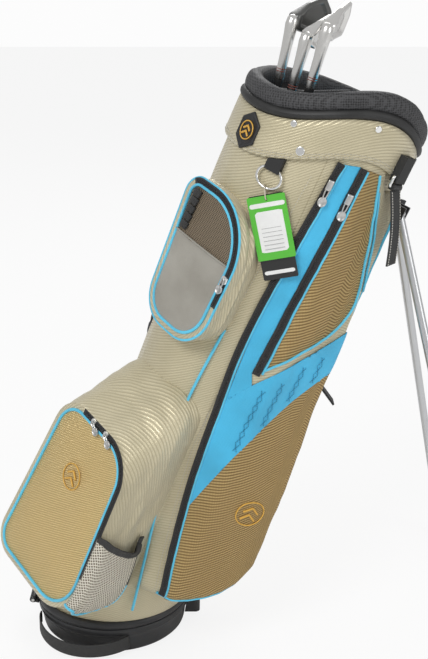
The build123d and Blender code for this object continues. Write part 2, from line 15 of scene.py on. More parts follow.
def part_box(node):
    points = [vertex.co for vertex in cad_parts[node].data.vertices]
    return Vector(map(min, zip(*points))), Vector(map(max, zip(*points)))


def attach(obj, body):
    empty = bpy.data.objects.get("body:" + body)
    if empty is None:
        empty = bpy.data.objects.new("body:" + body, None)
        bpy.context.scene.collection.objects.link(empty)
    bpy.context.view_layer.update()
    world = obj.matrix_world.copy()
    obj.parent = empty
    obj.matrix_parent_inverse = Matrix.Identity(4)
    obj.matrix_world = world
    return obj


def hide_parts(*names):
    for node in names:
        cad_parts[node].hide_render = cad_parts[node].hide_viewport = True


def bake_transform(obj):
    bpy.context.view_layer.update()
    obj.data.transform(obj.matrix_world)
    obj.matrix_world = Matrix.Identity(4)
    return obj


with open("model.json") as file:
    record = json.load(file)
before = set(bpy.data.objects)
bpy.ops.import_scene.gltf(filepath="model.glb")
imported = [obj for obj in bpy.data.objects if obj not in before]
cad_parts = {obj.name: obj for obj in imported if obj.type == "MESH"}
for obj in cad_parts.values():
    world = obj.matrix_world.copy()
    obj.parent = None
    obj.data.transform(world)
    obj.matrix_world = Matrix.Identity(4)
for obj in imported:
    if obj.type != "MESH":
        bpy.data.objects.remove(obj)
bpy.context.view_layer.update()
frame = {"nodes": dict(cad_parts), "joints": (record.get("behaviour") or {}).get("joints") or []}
NODES = frame["nodes"]

# ---------------------------------------------------------------- sizes, as in the CAD model
LEAN = radians(23.0)
SEAM_Z = 0.045
FOOT_R, TOP_R, TOP_Z = 0.104, 0.121, 0.830
COLLAR_R, PAD_R, BORE_R = 0.126, 0.127, 0.106
BAND_Z, TRIM_Z, PAD_Z, RIM_Z = 0.770, 0.825, 0.837, 0.860
WAVE_TERMS = (0.0125, 0.0533, -0.0350, -0.0467)      # height of the collar by powers of x / COLLAR_R
FAR_TERMS = (-0.0120, 0.0065, -0.0075)               # and on the side away from the pockets
FACE = radians(-140.0)
BALL_N, BALL_REAR_N = 0.185, 0.072
OVAL_N, OVAL_REAR_N = 0.140, 0.090
CUP_A = (FOOT_R + 0.005) / cos(LEAN)
CUP_B = FOOT_R + 0.005
PIPE_R = 0.0023
PANEL_IN, PIPE_IN = 0.0115, 0.0108                   # a front panel and its piping, in from the outline
HEM_Z = 0.606                                        # top edge of the vinyl pouch

BAG = Matrix.Translation((0, 0, SEAM_Z)) @ Matrix.Rotation(LEAN, 4, "Y")


# ---------------------------------------------------------------- shape helpers
def around(count):
    """Angles of count equal steps round a full turn."""
    return np.linspace(0, 2 * pi, count + 1)[:-1]


def tube_r(z):
    return FOOT_R + (TOP_R - FOOT_R) * z / TOP_Z


def ring_point(angle, r, z):
    return np.array([r * cos(angle), r * sin(angle), z])


def wave(x, y=-1.0):
    """Height of a collar edge above its height on the axis."""
    u = x / COLLAR_R
    near = sum(term * u ** k for k, term in enumerate(WAVE_TERMS))
    far = sum(term * u ** k for k, term in enumerate(FAR_TERMS))
    s = min(1.0, max(0.0, y / (0.85 * COLLAR_R)))
    s = s * s * (3 - 2 * s)
    return near * (1 - s) + far * s


def on_face(n, t, z, angle=FACE):
    """Point on a pocket's face plane: n out from the axis, t round the bag, z along it."""
    c, s = cos(angle), sin(angle)
    return np.array([c * n - s * t, s * n + c * t, z])


def smooth(points, count, closed=False):
    """Catmull-Rom curve through points, count samples."""
    p = [np.array(q, float) for q in points]
    n = len(p)
    out = []
    spans = n if closed else n - 1
    for i in range(count):
        f = i / count * spans if closed else i / (count - 1) * spans
        k = min(int(f), spans - 1)
        t = f - k
        if closed:
            a, b, c, d = (p[(k + j) % n] for j in (-1, 0, 1, 2))
        else:
            a, b, c, d = (p[min(max(k + j, 0), n - 1)] for j in (-1, 0, 1, 2))
        out.append(0.5 * ((2 * b) + (c - a) * t + (2 * a - 5 * b + 4 * c - d) * t * t
                          + (3 * b - a - 3 * c + d) * t ** 3))
    return np.array(out)


def unit(v):
    return v / np.linalg.norm(v)


def units(rows):
    return rows / np.linalg.norm(rows, axis=1)[:, None]


def run_along(p):
    """Distance along a line, at each of its points."""
    return np.concatenate([[0], np.cumsum(np.linalg.norm(np.diff(p, axis=0), axis=1))])


def even(points, count, closed=False):
    """The same line with its samples at equal distances."""
    p = np.array(points, float)
    if closed:
        p = np.vstack([p, p[:1]])
    run = run_along(p)
    at = np.linspace(0, run[-1], count + 1)[:-1] if closed else np.linspace(0, run[-1], count)
    return np.stack([np.interp(at, run, p[:, k]) for k in range(p.shape[1])], -1)


def rounded_outline(corners, radii, count=96):
    """Closed outline with round corners, in the plane of a pocket's face."""
    out = []
    n = len(corners)
    for i in range(n):
        a, b, c = (np.array(corners[(i + j) % n], float) for j in (-1, 0, 1))
        ab, cb = unit(a - b), unit(c - b)
        half = acos(max(-1, min(1, float(ab @ cb)))) / 2
        reach = radii[i] / tan(half)
        centre = b + unit(ab + cb) * radii[i] / sin(half)
        start, end = b + ab * reach, b + cb * reach
        a0 = atan2(*(start - centre)[::-1])
        a1 = atan2(*(end - centre)[::-1])
        turn = (a1 - a0 + pi) % (2 * pi) - pi
        for k in range(13):
            w = a0 + turn * k / 12
            out.append(centre + radii[i] * np.array([cos(w), sin(w)]))
    return even(out, count, closed=True)


def inset(outline, amount):
    """Outline moved inwards, for an outline that runs counter-clockwise."""
    along = units(np.roll(outline, -1, 0) - np.roll(outline, 1, 0))
    inward = np.stack([-along[:, 1], along[:, 0]], -1)
    return outline + inward * amount


def wrinkle(p, scale, amount, seed=0.0):
    q = Vector((p[0] * scale + seed, p[1] * scale, p[2] * scale))
    return noise.fractal(q, 1.0, 2.1, 3) * amount


# ---------------------------------------------------------------- mesh helpers
def placed(name, data):
    """New object in the scene."""
    obj = bpy.data.objects.new(name, data)
    bpy.context.scene.collection.objects.link(obj)
    return obj


def mesh_object(name, verts, faces, uvs=None, leaned=True):
    mesh = bpy.data.meshes.new(name)
    mesh.from_pydata([tuple(v) for v in verts], [], faces)
    if uvs is not None:
        layer = mesh.uv_layers.new(name="UVMap")
        for loop in mesh.loops:
            layer.data[loop.index].uv = uvs[loop.vertex_index]
    mesh.validate()
    if leaned:
        mesh.transform(BAG)
    for polygon in mesh.polygons:
        polygon.use_smooth = True
    return placed(name, mesh)


def grid(name, points, closed=False, leaned=True, flip=False):
    """Surface through points[u][v]; UVs are in metres along both ways."""
    p = np.array(points, float)
    nu, nv = p.shape[:2]
    verts = p.reshape(-1, 3)
    du = np.linalg.norm(np.diff(p, axis=0), axis=2).mean(1)
    dv = np.linalg.norm(np.diff(p, axis=1), axis=2).mean(0)
    u = np.concatenate([[0], np.cumsum(du)])
    v = np.concatenate([[0], np.cumsum(dv)])
    uvs = [(u[i], v[j]) for i in range(nu) for j in range(nv)]
    faces = []
    for i in range(nu if closed else nu - 1):
        for j in range(nv - 1):
            k = (i + 1) % nu
            quad = (i * nv + j, k * nv + j, k * nv + j + 1, i * nv + j + 1)
            faces.append(quad[::-1] if flip else quad)
    obj = mesh_object(name, verts, faces, uvs, leaned)
    if closed:
        seam = obj.data.uv_layers[0].data
        step = float(du.mean())
        for polygon in obj.data.polygons:
            loops = list(polygon.loop_indices)
            if max(seam[k].uv[0] for k in loops) - min(seam[k].uv[0] for k in loops) > u[-1] / 2:
                for k in loops:
                    if seam[k].uv[0] < u[-1] / 2:
                        seam[k].uv[0] = u[-1] + step
    return obj


def modify(obj, kind, **settings):
    """Add one modifier and apply it to the mesh."""
    modifier = obj.modifiers.new(kind.lower(), kind)
    for key, value in settings.items():
        setattr(modifier, key, value)
    bpy.context.view_layer.update()
    evaluated = obj.evaluated_get(bpy.context.evaluated_depsgraph_get())
    mesh = bpy.data.meshes.new_from_object(evaluated)
    obj.modifiers.clear()
    obj.data = mesh
    return obj


def weld(obj):
    """Merge the points that lie on one another, such as the centre of nested rings."""
    bm = bmesh.new()
    bm.from_mesh(obj.data)
    bmesh.ops.remove_doubles(bm, verts=bm.verts, dist=1e-6)
    bm.to_mesh(obj.data)
    bm.free()
    return obj


def thicken(obj, thickness, offset=-1.0):
    return modify(obj, "SOLIDIFY", thickness=thickness, offset=offset)


def join(name, objects):
    """One object from several."""
    bm = bmesh.new()
    materials = []
    for obj in objects:
        start = len(bm.faces)
        bm.from_mesh(obj.data)
        bm.faces.ensure_lookup_table()
        slots = []
        for material in obj.data.materials:
            if material not in materials:
                materials.append(material)
            slots.append(materials.index(material))
        for face in bm.faces[start:]:
            face.material_index = slots[face.material_index] if slots else 0
        bpy.data.objects.remove(obj)
    mesh = bpy.data.meshes.new(name)
    bm.to_mesh(mesh)
    bm.free()
    for material in materials:
        mesh.materials.append(material)
    return placed(name, mesh)


def frames_along(points, closed=False, up=None):
    """Tangent, side and up at each point of a line."""
    p = np.array(points, float)
    along = units(np.roll(p, -1, 0) - np.roll(p, 1, 0) if closed else np.gradient(p, axis=0))
    ups = []
    last = np.array([0.0, 0.0, 1.0]) if abs(along[0][2]) < 0.9 else np.array([1.0, 0.0, 0.0])
    for k, t in enumerate(along):
        want = np.array(up[k], float) if up is not None else last
        last = unit(want - t * (want @ t))
        ups.append(last)
    ups = np.array(ups)
    return along, np.cross(along, ups), ups


def sweep(name, points, section, closed=False, up=None, leaned=True):
    """Sweep a closed section of (side, up) points along a line."""
    p = np.array(points, float)
    _, side, ups = frames_along(p, closed, up)
    rings = np.array([[p[i] + side[i] * a + ups[i] * b for a, b in section] for i in range(len(p))])
    n, m = rings.shape[:2]
    run = run_along(p)
    sec = np.array(section)
    girth = run_along(sec)
    uvs = [(run[i], girth[j]) for i in range(n) for j in range(m)]
    faces = []
    for i in range(n if closed else n - 1):
        for j in range(m):
            k, l = (i + 1) % n, (j + 1) % m
            faces.append((i * m + j, i * m + l, k * m + l, k * m + j))
    if not closed:
        faces.append(tuple(range(m))[::-1])
        faces.append(tuple((n - 1) * m + j for j in range(m)))
    return mesh_object(name, rings.reshape(-1, 3), faces, uvs, leaned)


def circle(r, n=12):
    return [(r * cos(2 * pi * k / n), r * sin(2 * pi * k / n)) for k in range(n)]


def pillow(half_w, half_t, count, square_w=1.0, square_t=1.0):
    """Section of a stuffed strip: an oval whose sides are the squarer the lower the two powers."""
    return [(half_w * copysign(abs(cos(a)) ** square_w, cos(a)),
             half_t * copysign(abs(sin(a)) ** square_t, sin(a))) for a in around(count)]


def flat_section(width, thick, edge=3):
    """Section of a strap: wide along side, thin along up, with round edges."""
    half, r = width / 2 - thick / 2, thick / 2
    right = [(half + r * cos(a), r * sin(a)) for a in np.linspace(-pi / 2, pi / 2, edge + 2)]
    left = [(-x, -y) for x, y in right]
    top = [(x, r) for x in np.linspace(half, -half, 6)[1:-1]]
    low = [(x, -r) for x in np.linspace(-half, half, 6)[1:-1]]
    return right + top + left + low


def rope(name, points, radius=PIPE_R, closed=False, leaned=True, up=None):
    return sweep(name, points, circle(radius, 10), closed, up, leaned)


def piping(name, points, radius=PIPE_R, closed=False):
    return dress(rope(name, points, radius, closed), PIPE_BLUE)


def stitches(name, points, normals, pitch=0.004, length=0.0026, radius=0.00035, lift=0.0003):
    """A row of short threads along a line, lying on the surface."""
    p = np.array(points, float)
    n = np.array(normals, float)
    run = run_along(p)
    verts, faces = [], []
    profile = [(-0.5, 0.3), (-0.35, 1.0), (0.35, 1.0), (0.5, 0.3)]
    for at in np.arange(pitch, run[-1] - pitch / 2, pitch):
        centre = np.array([np.interp(at, run, p[:, k]) for k in range(3)])
        up = np.array([np.interp(at, run, n[:, k]) for k in range(3)])
        ahead = unit(np.array([np.interp(at + 1e-4, run, p[:, k]) for k in range(3)]) - centre)
        up = unit(up - ahead * (up @ ahead))
        side = np.cross(ahead, up)
        base = len(verts)
        for s, w in profile:
            for k in range(6):
                a = pi * k / 3
                verts.append(centre + up * lift + ahead * s * length
                             + (side * cos(a) + up * sin(a)) * radius * w)
        for s in range(3):
            for k in range(6):
                l = (k + 1) % 6
                faces.append((base + s * 6 + k, base + s * 6 + l, base + s * 6 + 6 + l,
                              base + s * 6 + 6 + k))
        faces.append(tuple(base + k for k in range(6))[::-1])
        faces.append(tuple(base + 18 + k for k in range(6)))
    return mesh_object(name, verts, faces)


# ---------------------------------------------------------------- materials
class Nodes:
    """Short-hand for building one node material."""

    def __init__(self, name, colour, roughness=0.5, metallic=0.0, sheen=0.0):
        self.material = bpy.data.materials.new(name)
        self.material.use_nodes = True
        self.tree = self.material.node_tree
        self.shader = self.tree.nodes["Principled BSDF"]
        self.feed(self.shader, {"Base Color": colour, "Roughness": roughness, "Metallic": metallic,
                                "Sheen Weight": sheen})

    def feed(self, node, inputs):
        """Link inputs of a node, or set them to a number or a colour."""
        for key, value in inputs.items():
            socket = node.inputs[key]
            if isinstance(value, bpy.types.NodeSocket):
                self.tree.links.new(value, socket)
            else:
                socket.default_value = (*value, 1) if socket.type == "RGBA" else value

    def add(self, kind, inputs=(), **values):
        node = self.tree.nodes.new("ShaderNode" + kind)
        for key, value in values.items():
            setattr(node, key, value)
        self.feed(node, dict(inputs))
        return node

    def coords(self, turn=0.0, uv=True):
        source = self.add("TexCoord").outputs["UV" if uv else "Object"]
        return self.add("Mapping", {"Vector": source, "Rotation": (0, 0, radians(turn))}).outputs[0]

    def wave(self, scale, turn=0.0, way="X"):
        node = self.add("TexWave", {"Scale": scale, "Vector": self.coords(turn)}, bands_direction=way)
        return node.outputs["Fac"]

    def noise(self, scale, detail=3.0):
        inputs = {"Scale": scale, "Detail": detail, "Vector": self.coords(uv=False)}
        return self.add("TexNoise", inputs).outputs["Fac"]

    def cells(self, scale, randomness=1.0):
        inputs = {"Scale": scale, "Randomness": randomness, "Vector": self.coords(uv=False)}
        return self.add("TexVoronoi", inputs).outputs["Distance"]

    def math(self, operation, a, b):
        return self.add("Math", {0: a, 1: b}, operation=operation).outputs[0]

    def ramp(self, value, *stops):
        node = self.add("ValToRGB", {"Fac": value})
        elements = node.color_ramp.elements
        for element, (place, colour) in zip(elements, (stops[0], stops[-1])):
            element.position = place
            element.color = (*colour, 1)
        for place, colour in stops[1:-1]:
            elements.new(place).color = (*colour, 1)
        return node.outputs["Color"]

    def mix(self, value, a, b):
        return self.add("Mix", {0: value, 6: a, 7: b}, data_type="RGBA").outputs[2]

    def colour(self, socket):
        self.feed(self.shader, {"Base Color": socket})

    def rough(self, value, low, high):
        node = self.add("MapRange", {"Value": value, "To Min": low, "To Max": high})
        self.feed(self.shader, {"Roughness": node.outputs[0]})

    def bump(self, value, strength, distance=0.001):
        """Bump the surface, which finishes the material."""
        node = self.add("Bump", {"Strength": strength, "Distance": distance, "Height": value})
        self.feed(self.shader, {"Normal": node.outputs["Normal"]})
        return self.material


def shade(colour, by, lift=0.0):
    return tuple(c * by + lift for c in colour)


def satin():
    """Champagne twill: a shiny thread on fine diagonal ribs."""
    m = Nodes("satin_twill", (0.60, 0.55, 0.40), 0.38, 0.30, 0.3)
    rib = m.wave(78.0, 68)
    thread = m.wave(300.0, -22)
    tone = m.ramp(m.noise(9.0), (0.3, (0.55, 0.49, 0.325)), (0.7, (0.72, 0.65, 0.455)))
    m.colour(m.mix(m.math("MULTIPLY", rib, 0.62), tone, (0.33, 0.285, 0.175)))
    m.rough(rib, 0.26, 0.52)
    return m.bump(m.math("ADD", rib, m.math("MULTIPLY", thread, 0.3)), 0.5, 0.0005)


def gold_weave(name="gold_weave", pitch=75.0, tones=((0.13, 0.08, 0.028), (0.38, 0.255, 0.098),
                                                     (0.62, 0.45, 0.20)),
               turn=68.0, ribs=0.55):
    """Basket weave of metallic tape, crossed by dark diagonal ribs."""
    m = Nodes(name, tones[1], 0.40, 0.45)
    across = m.wave(pitch, turn)
    down = m.wave(pitch * 2.2, turn - 90)
    knot = m.math("MULTIPLY", across, m.math("ADD", m.math("MULTIPLY", down, 0.45), 0.55))
    tone = m.ramp(knot, (0.04, tones[0]), (0.40, tones[1]), (0.85, tones[2]))
    m.colour(m.mix(m.math("MULTIPLY", m.noise(12.0), ribs), tone, tones[1]))
    m.rough(knot, 0.52, 0.32)
    return m.bump(knot, 0.8, 0.0009)


def blue_fabric(name="blue_ripstop", colour=(0.045, 0.42, 0.70)):
    m = Nodes(name, colour, 0.55, sheen=0.2)
    weave = m.math("ADD", m.wave(190.0), m.wave(190.0, way="Y"))
    m.colour(m.ramp(m.noise(12.0), (0.3, shade(colour, 0.82)), (0.7, shade(colour, 1.12))))
    return m.bump(weave, 0.35, 0.0003)


def spacer_mesh(name="black_spacer", colour=(0.012, 0.012, 0.013)):
    """Open knit over foam: round holes in rows."""
    m = Nodes(name, colour, 0.62)
    cell = m.cells(330.0, 0.25)
    m.colour(m.ramp(cell, (0.2, shade(colour, 0.4)), (0.62, shade(colour, 3.2, 0.02))))
    return m.bump(cell, 0.8, 0.001)


def webbing(name="black_webbing", colour=(0.012, 0.012, 0.012)):
    m = Nodes(name, colour, 0.6)
    rib = m.wave(260.0)
    cord = m.wave(180.0, way="Y")
    m.colour(m.ramp(rib, (0.1, colour), (0.9, shade(colour, 2.6, 0.012))))
    return m.bump(m.math("ADD", rib, m.math("MULTIPLY", cord, 0.5)), 0.6, 0.0005)


def plastic(name, colour=(0.011, 0.011, 0.012), roughness=0.38, grain=500.0):
    m = Nodes(name, colour, roughness)
    worn = m.noise(22.0, 5.0)
    m.rough(worn, roughness - 0.08, roughness + 0.16)
    m.colour(m.ramp(worn, (0.35, colour), (0.75, shade(colour, 1.9, 0.006))))
    return m.bump(m.noise(grain, 4.0), 0.25, 0.0004)


def rubber():
    m = Nodes("rubber", (0.014, 0.014, 0.014), 0.72)
    m.rough(m.noise(60.0), 0.6, 0.85)
    return m.bump(m.noise(700.0), 0.4, 0.0004)


def metal(name, colour, roughness, scale=30.0, spread=0.12):
    m = Nodes(name, colour, roughness, 1.0)
    m.rough(m.noise(scale, 6.0), max(roughness - spread / 2, 0.03), roughness + spread)
    return m.bump(m.noise(scale * 18), 0.06, 0.0002)


def vinyl():
    m = Nodes("grey_vinyl", (0.30, 0.285, 0.25), 0.48)
    m.colour(m.ramp(m.noise(16.0), (0.3, (0.265, 0.25, 0.215)), (0.7, (0.355, 0.34, 0.30))))
    return m.bump(m.cells(480.0), 0.35, 0.0005)


def net(name, thread, hole, scale=105.0):
    """Net of fine threads over a darker ground."""
    m = Nodes(name, thread, 0.45, 0.2)
    line = m.math("MAXIMUM", m.wave(scale, 30), m.wave(scale, -60))
    m.colour(m.ramp(line, (0.55, hole), (0.86, thread)))
    return m.bump(line, 0.9, 0.001)


def card(name, colour):
    m = Nodes(name, colour, 0.38)
    m.colour(m.ramp(m.noise(35.0), (0.2, shade(colour, 0.9)), (0.8, colour)))
    return m.bump(m.noise(900.0), 0.05, 0.0002)


def thread(name, colour, gloss=0.4):
    m = Nodes(name, colour, gloss, 0.15)
    twist = m.noise(1400.0)
    m.colour(m.ramp(twist, (0.3, shade(colour, 0.7)), (0.7, colour)))
    return m.bump(twist, 0.4, 0.0003)


SATIN = satin()
GOLD = gold_weave()
PALE_GOLD = gold_weave("pale_gold_weave", 130.0, ((0.34, 0.24, 0.09), (0.66, 0.48, 0.20),
                                                  (0.86, 0.69, 0.36)), 45.0, 0.6)
BLUE = blue_fabric(colour=(0.055, 0.47, 0.76))
PIPE_BLUE = blue_fabric("piping_blue", (0.10, 0.56, 0.80))
SPACER = spacer_mesh()
BLUE_SPACER = spacer_mesh("blue_spacer", (0.03, 0.32, 0.50))
WEBBING = webbing()
ZIP_TAPE = webbing("zip_tape", (0.008, 0.008, 0.009))
PLASTIC = plastic("black_plastic")
PATCH = plastic("patch_rubber", (0.012, 0.012, 0.013), 0.5, 260.0)
RUBBER = rubber()
CHROME = metal("chrome", (0.86, 0.86, 0.85), 0.13)
STEEL = metal("steel", (0.58, 0.58, 0.57), 0.3)
ALUMINIUM = metal("aluminium", (0.60, 0.61, 0.62), 0.34)
CLUB = metal("club_steel", (0.80, 0.79, 0.77), 0.2, 45.0)
VINYL = vinyl()
TAN_NET = net("tan_net", (0.26, 0.20, 0.13), (0.03, 0.024, 0.018), 120.0)
POUCH_NET = net("pouch_net", (0.74, 0.70, 0.60), (0.16, 0.13, 0.085), 84.0)
LINING = plastic("lining", (0.010, 0.010, 0.010), 0.8)
WHITE_THREAD = thread("white_thread", (0.62, 0.60, 0.55))
CREAM = thread("cream_cord", (0.62, 0.56, 0.44), 0.6)
GOLD_THREAD = thread("gold_thread", (0.80, 0.46, 0.08), 0.32)
GREEN = card("green_card", (0.10, 0.50, 0.045))
WHITE = card("white_label", (0.82, 0.82, 0.81))
BLACK_CARD = card("black_card", (0.02, 0.02, 0.02))
PRINT = card("print_grey", (0.45, 0.45, 0.45))
FERRULE = plastic("ferrule", (0.012, 0.012, 0.012), 0.22)
RED_INK = card("red_ink", (0.22, 0.05, 0.035))
# Painted shade: the club steel darkened, for the blade seen behind iron c's neck; not a steel of its own
SHADED_CLUB = metal("shaded_club_steel", (0.16, 0.16, 0.155), 0.32, 60.0)


def dress(obj, material, *nodes, body="bag", slot=None):
    """Give a piece its material and its body, and hide the CAD nodes that it stands for. slot is not used.
    """
    if not obj.data.materials:
        obj.data.materials.append(material)
    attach(obj, body)
    if nodes:
        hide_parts(*nodes)
    return obj


def coat(material, *names):
    """Give CAD nodes that stay a better material."""
    for name in names:
        mesh = NODES[name].data
        if not mesh.materials:
            mesh.materials.append(material)
        for k in range(len(mesh.materials)):
            mesh.materials[k] = material


# ---------------------------------------------------------------- tube, base and collar
def floor_cut(x, height):
    """Height along the bag of a level plane, at x."""
    return (height - SEAM_Z + x * sin(LEAN)) / cos(LEAN)


def tube():
    rows, cols = 150, 150
    points = np.zeros((cols, rows, 3))
    for i in range(cols):
        a = 2 * pi * i / cols
        low = floor_cut(tube_r(0) * cos(a), SEAM_Z + 0.005)
        high = TRIM_Z + wave(COLLAR_R * cos(a), COLLAR_R * sin(a)) - 0.002
        for j in range(rows):
            z = low + (high - low) * j / (rows - 1)
            edge = min(1.0, 6 * j / rows, 6 * (rows - 1 - j) / rows)
            p = ring_point(a, 1.0, z * 0.55)
            r = tube_r(z) - 0.0006 + edge * (wrinkle(p, 6.0, 0.0013) + wrinkle(p, 19.0, 0.0005, 5))
            points[i, j] = ring_point(a, r, z)
    shell = thicken(grid("bag_tube", points, closed=True), 0.0012)
    dress(shell, SATIN, "body_tube")
    inner = np.array([[ring_point(2 * pi * i / 96, tube_r(z) - 0.003, z)
                       for z in np.linspace(0.03, 0.82, 40)] for i in range(96)])
    for i in range(96):
        x = inner[i, :, 0]
        top = TRIM_Z + wave(x[-1] * 1.05, inner[i, -1, 1] * 1.05) - 0.001
        inner[i, :, 2] = np.linspace(floor_cut(x[0], SEAM_Z + 0.006), top, 40)
    dress(grid("bag_lining", inner, closed=True, flip=True), LINING)


def cup_points(profile, count):
    """Rows of (out, up) profile points round the elliptical base."""
    return [[((CUP_A + out) * cos(a), (CUP_B + out) * sin(a), up) for out, up in profile]
            for a in around(count)]


def oval_ring(name, profile, body, *nodes):
    """Closed ring of (out, up) profile points round the elliptical base, standing on the floor."""
    obj = grid(name, cup_points(profile + profile[:1], 144), closed=True, leaned=False)
    return dress(obj, PLASTIC, *nodes, body=body)


def base():
    top = SEAM_Z
    cup = [(-0.060, 0.0), (-0.012, 0.0), (-0.0095, 0.0006), (-0.0078, 0.0025), (-0.0068, 0.006),
           (-0.0040, 0.026), (-0.0026, top - 0.013), (-0.0006, top - 0.0115), (0.0, top - 0.0095),
           (0.0, top - 0.003), (-0.0010, top - 0.0006), (-0.0030, top - 0.0003), (-0.0048, top - 0.002),
           (-0.0075, 0.026), (-0.0112, 0.0065), (-0.0135, 0.0042), (-0.060, 0.004)]
    oval_ring("cup_wall", cup, "base", "base_cup")
    disc = np.array([[(k * cos(a), k * sin(a), 1.0) for k in np.linspace(1, 0, 12)] for a in around(96)])
    floor = grid("cup_floor", disc * (CUP_A - 0.058, CUP_B - 0.058, 0.004), closed=True, leaned=False)
    dress(thicken(floor, 0.004), PLASTIC, body="base")
    seam = SEAM_Z + 0.0003
    ring = [(-0.010, 0.0), (-0.0015, 0.0), (0.0, 0.0014), (0.0006, 0.0045), (-0.0002, 0.0080),
            (-0.0018, 0.0105), (-0.0045, 0.0120), (-0.0070, 0.0122), (-0.0075, 0.0060), (-0.0100, 0.0042)]
    oval_ring("foot_ring", [(x, seam + z) for x, z in ring], "bag", "base_ring")
    plate = disc * (CUP_A - 0.008, CUP_B - 0.008, seam + 0.004)
    plate = grid("floor_plate", plate, closed=True, leaned=False)
    dress(thicken(plate, 0.0038), PLASTIC)
    knuckle()
    bellows()
    lift_loop()


def knuckle():
    """Moulded hinge ears at the back of the base, round their pin."""
    x, z = -(CUP_A + 0.0058), SEAM_Z
    for name, y0, y1, body, side in (("ear_left", 0.011, 0.029, "base", -1),
                                     ("ear_right", -0.029, -0.011, "base", -1),
                                     ("ear_mid", -0.010, 0.010, "bag", 1)):
        line = [(x, y, z) for y in np.linspace(y0, y1, 5)]
        barrel = rope(name + "_barrel", line, 0.0054, leaned=False)
        web_line = [(x + 0.001, (y0 + y1) / 2, z + side * 0.003),
                    (x + 0.009, (y0 + y1) / 2, z + side * 0.005)]
        web = sweep(name + "_web", even(web_line, 4), flat_section(y1 - y0, 0.004), leaned=False,
                    up=[(0, 0, 1)] * 4)
        dress(join(name, [barrel, web]), PLASTIC, body=body)


def bellows():
    """Soft gusset inside the seam, which opens when the bag stands up."""
    rows = [(-0.0150, SEAM_Z - 0.014), (-0.0135, SEAM_Z - 0.008), (-0.0150, SEAM_Z - 0.003),
            (-0.0130, SEAM_Z - 0.0005), (-0.0140, SEAM_Z + 0.0002)]
    obj = grid("seam_gusset", cup_points(rows, 96), closed=True, leaned=False)
    obj.data.materials.append(WEBBING)
    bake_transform(obj)


def lift_loop():
    low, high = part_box("lift_loop")
    line = []
    for k in range(33):
        f = k / 32
        a = radians(-157 + 82 * f)
        out = 0.004 + 0.021 * sin(pi * f) ** 0.8
        drop = 0.004 * sin(pi * f)
        line.append(((CUP_A + out - 0.003) * cos(a), (CUP_B + out - 0.003) * sin(a),
                     (low.z + high.z) / 2 - drop))
    up = [(p[0], p[1], 0.0) for p in line]
    strap = sweep("lift_strap", line, flat_section(0.022, 0.0026), up=up, leaned=False)
    dress(strap, WEBBING, "lift_loop", body="base")


def collar_loop(name, profile, material, *nodes, count=160, lumps=0.0, slot=None):
    """Ring of (radius, height) profile points that follows the collar's wave."""
    points = np.zeros((count, len(profile) + 1, 3))
    for i in range(count):
        a = 2 * pi * i / count
        rise = wave(COLLAR_R * cos(a), COLLAR_R * sin(a))
        for j, (r, z) in enumerate(profile + profile[:1]):
            p = ring_point(a, r, z + rise)
            push = wrinkle(p, 28.0, lumps, 3.0)
            points[i, j] = ring_point(a, r + push, z + rise + push * 0.5)
    return dress(grid(name, points, closed=True), material, *nodes, slot=slot)


def collar():
    band = [(0.1216, BAND_Z + 0.001), (0.1252, BAND_Z), (0.1262, BAND_Z + 0.002), (0.1264, BAND_Z + 0.010),
            (0.1266, BAND_Z + 0.028), (0.1262, BAND_Z + 0.046), (0.1258, TRIM_Z - 0.001),
            (0.1216, TRIM_Z - 0.001)]
    collar_loop("band", band, SATIN, "collar_band", lumps=0.0009)
    mid = (TRIM_Z + PAD_Z) / 2
    trim = [(0.1225 + 0.0065 * cos(a), mid + 0.0066 * sin(a)) for a in around(16)]
    collar_loop("binding", trim, plastic("binding", (0.012, 0.012, 0.012), 0.5), "collar_trim",
                slot="black_pad")
    centre_r, centre_z = (PAD_R + BORE_R) / 2, (PAD_Z + RIM_Z) / 2 - 0.001
    half_r, half_z = (PAD_R - BORE_R) / 2, (RIM_Z - PAD_Z) / 2 + 0.0015
    pad = [(centre_r + x, centre_z + y) for x, y in pillow(half_r, half_z, 28, 0.75, 0.8)]
    roll = collar_loop("collar_roll", pad, SPACER, "collar_pad", lumps=0.0012, count=200)
    sleeve = [(BORE_R + 0.001, PAD_Z + 0.004), (BORE_R - 0.001, PAD_Z - 0.008), (0.1085, PAD_Z - 0.035),
              (0.1125, PAD_Z - 0.060), (0.1135, PAD_Z - 0.060), (0.1115, PAD_Z - 0.010)]
    lining = collar_loop("mouth_sleeve", sleeve, LINING, slot="blue_fabric")
    for piece, reach in ((roll, 0.1185), (lining, 1.0)):
        piece.data.materials.append(BLUE_SPACER)
        for polygon in piece.data.polygons:
            q = BAG.inverted() @ polygon.center
            bearing = degrees(atan2(q.y, q.x))
            if 2 < bearing < 62 and hypot(q.x, q.y) < reach:
                polygon.material_index = 1
    for low, name in ((0.0035, "band_stitch_low"), (0.0075, "band_stitch_high")):
        line = [ring_point(a, 0.1266, BAND_Z + low + wave(COLLAR_R * cos(a), COLLAR_R * sin(a)))
                for a in np.linspace(0, 2 * pi, 260)]
        dress(stitches(name, line, [(p[0], p[1], 0) for p in line]), WHITE_THREAD)


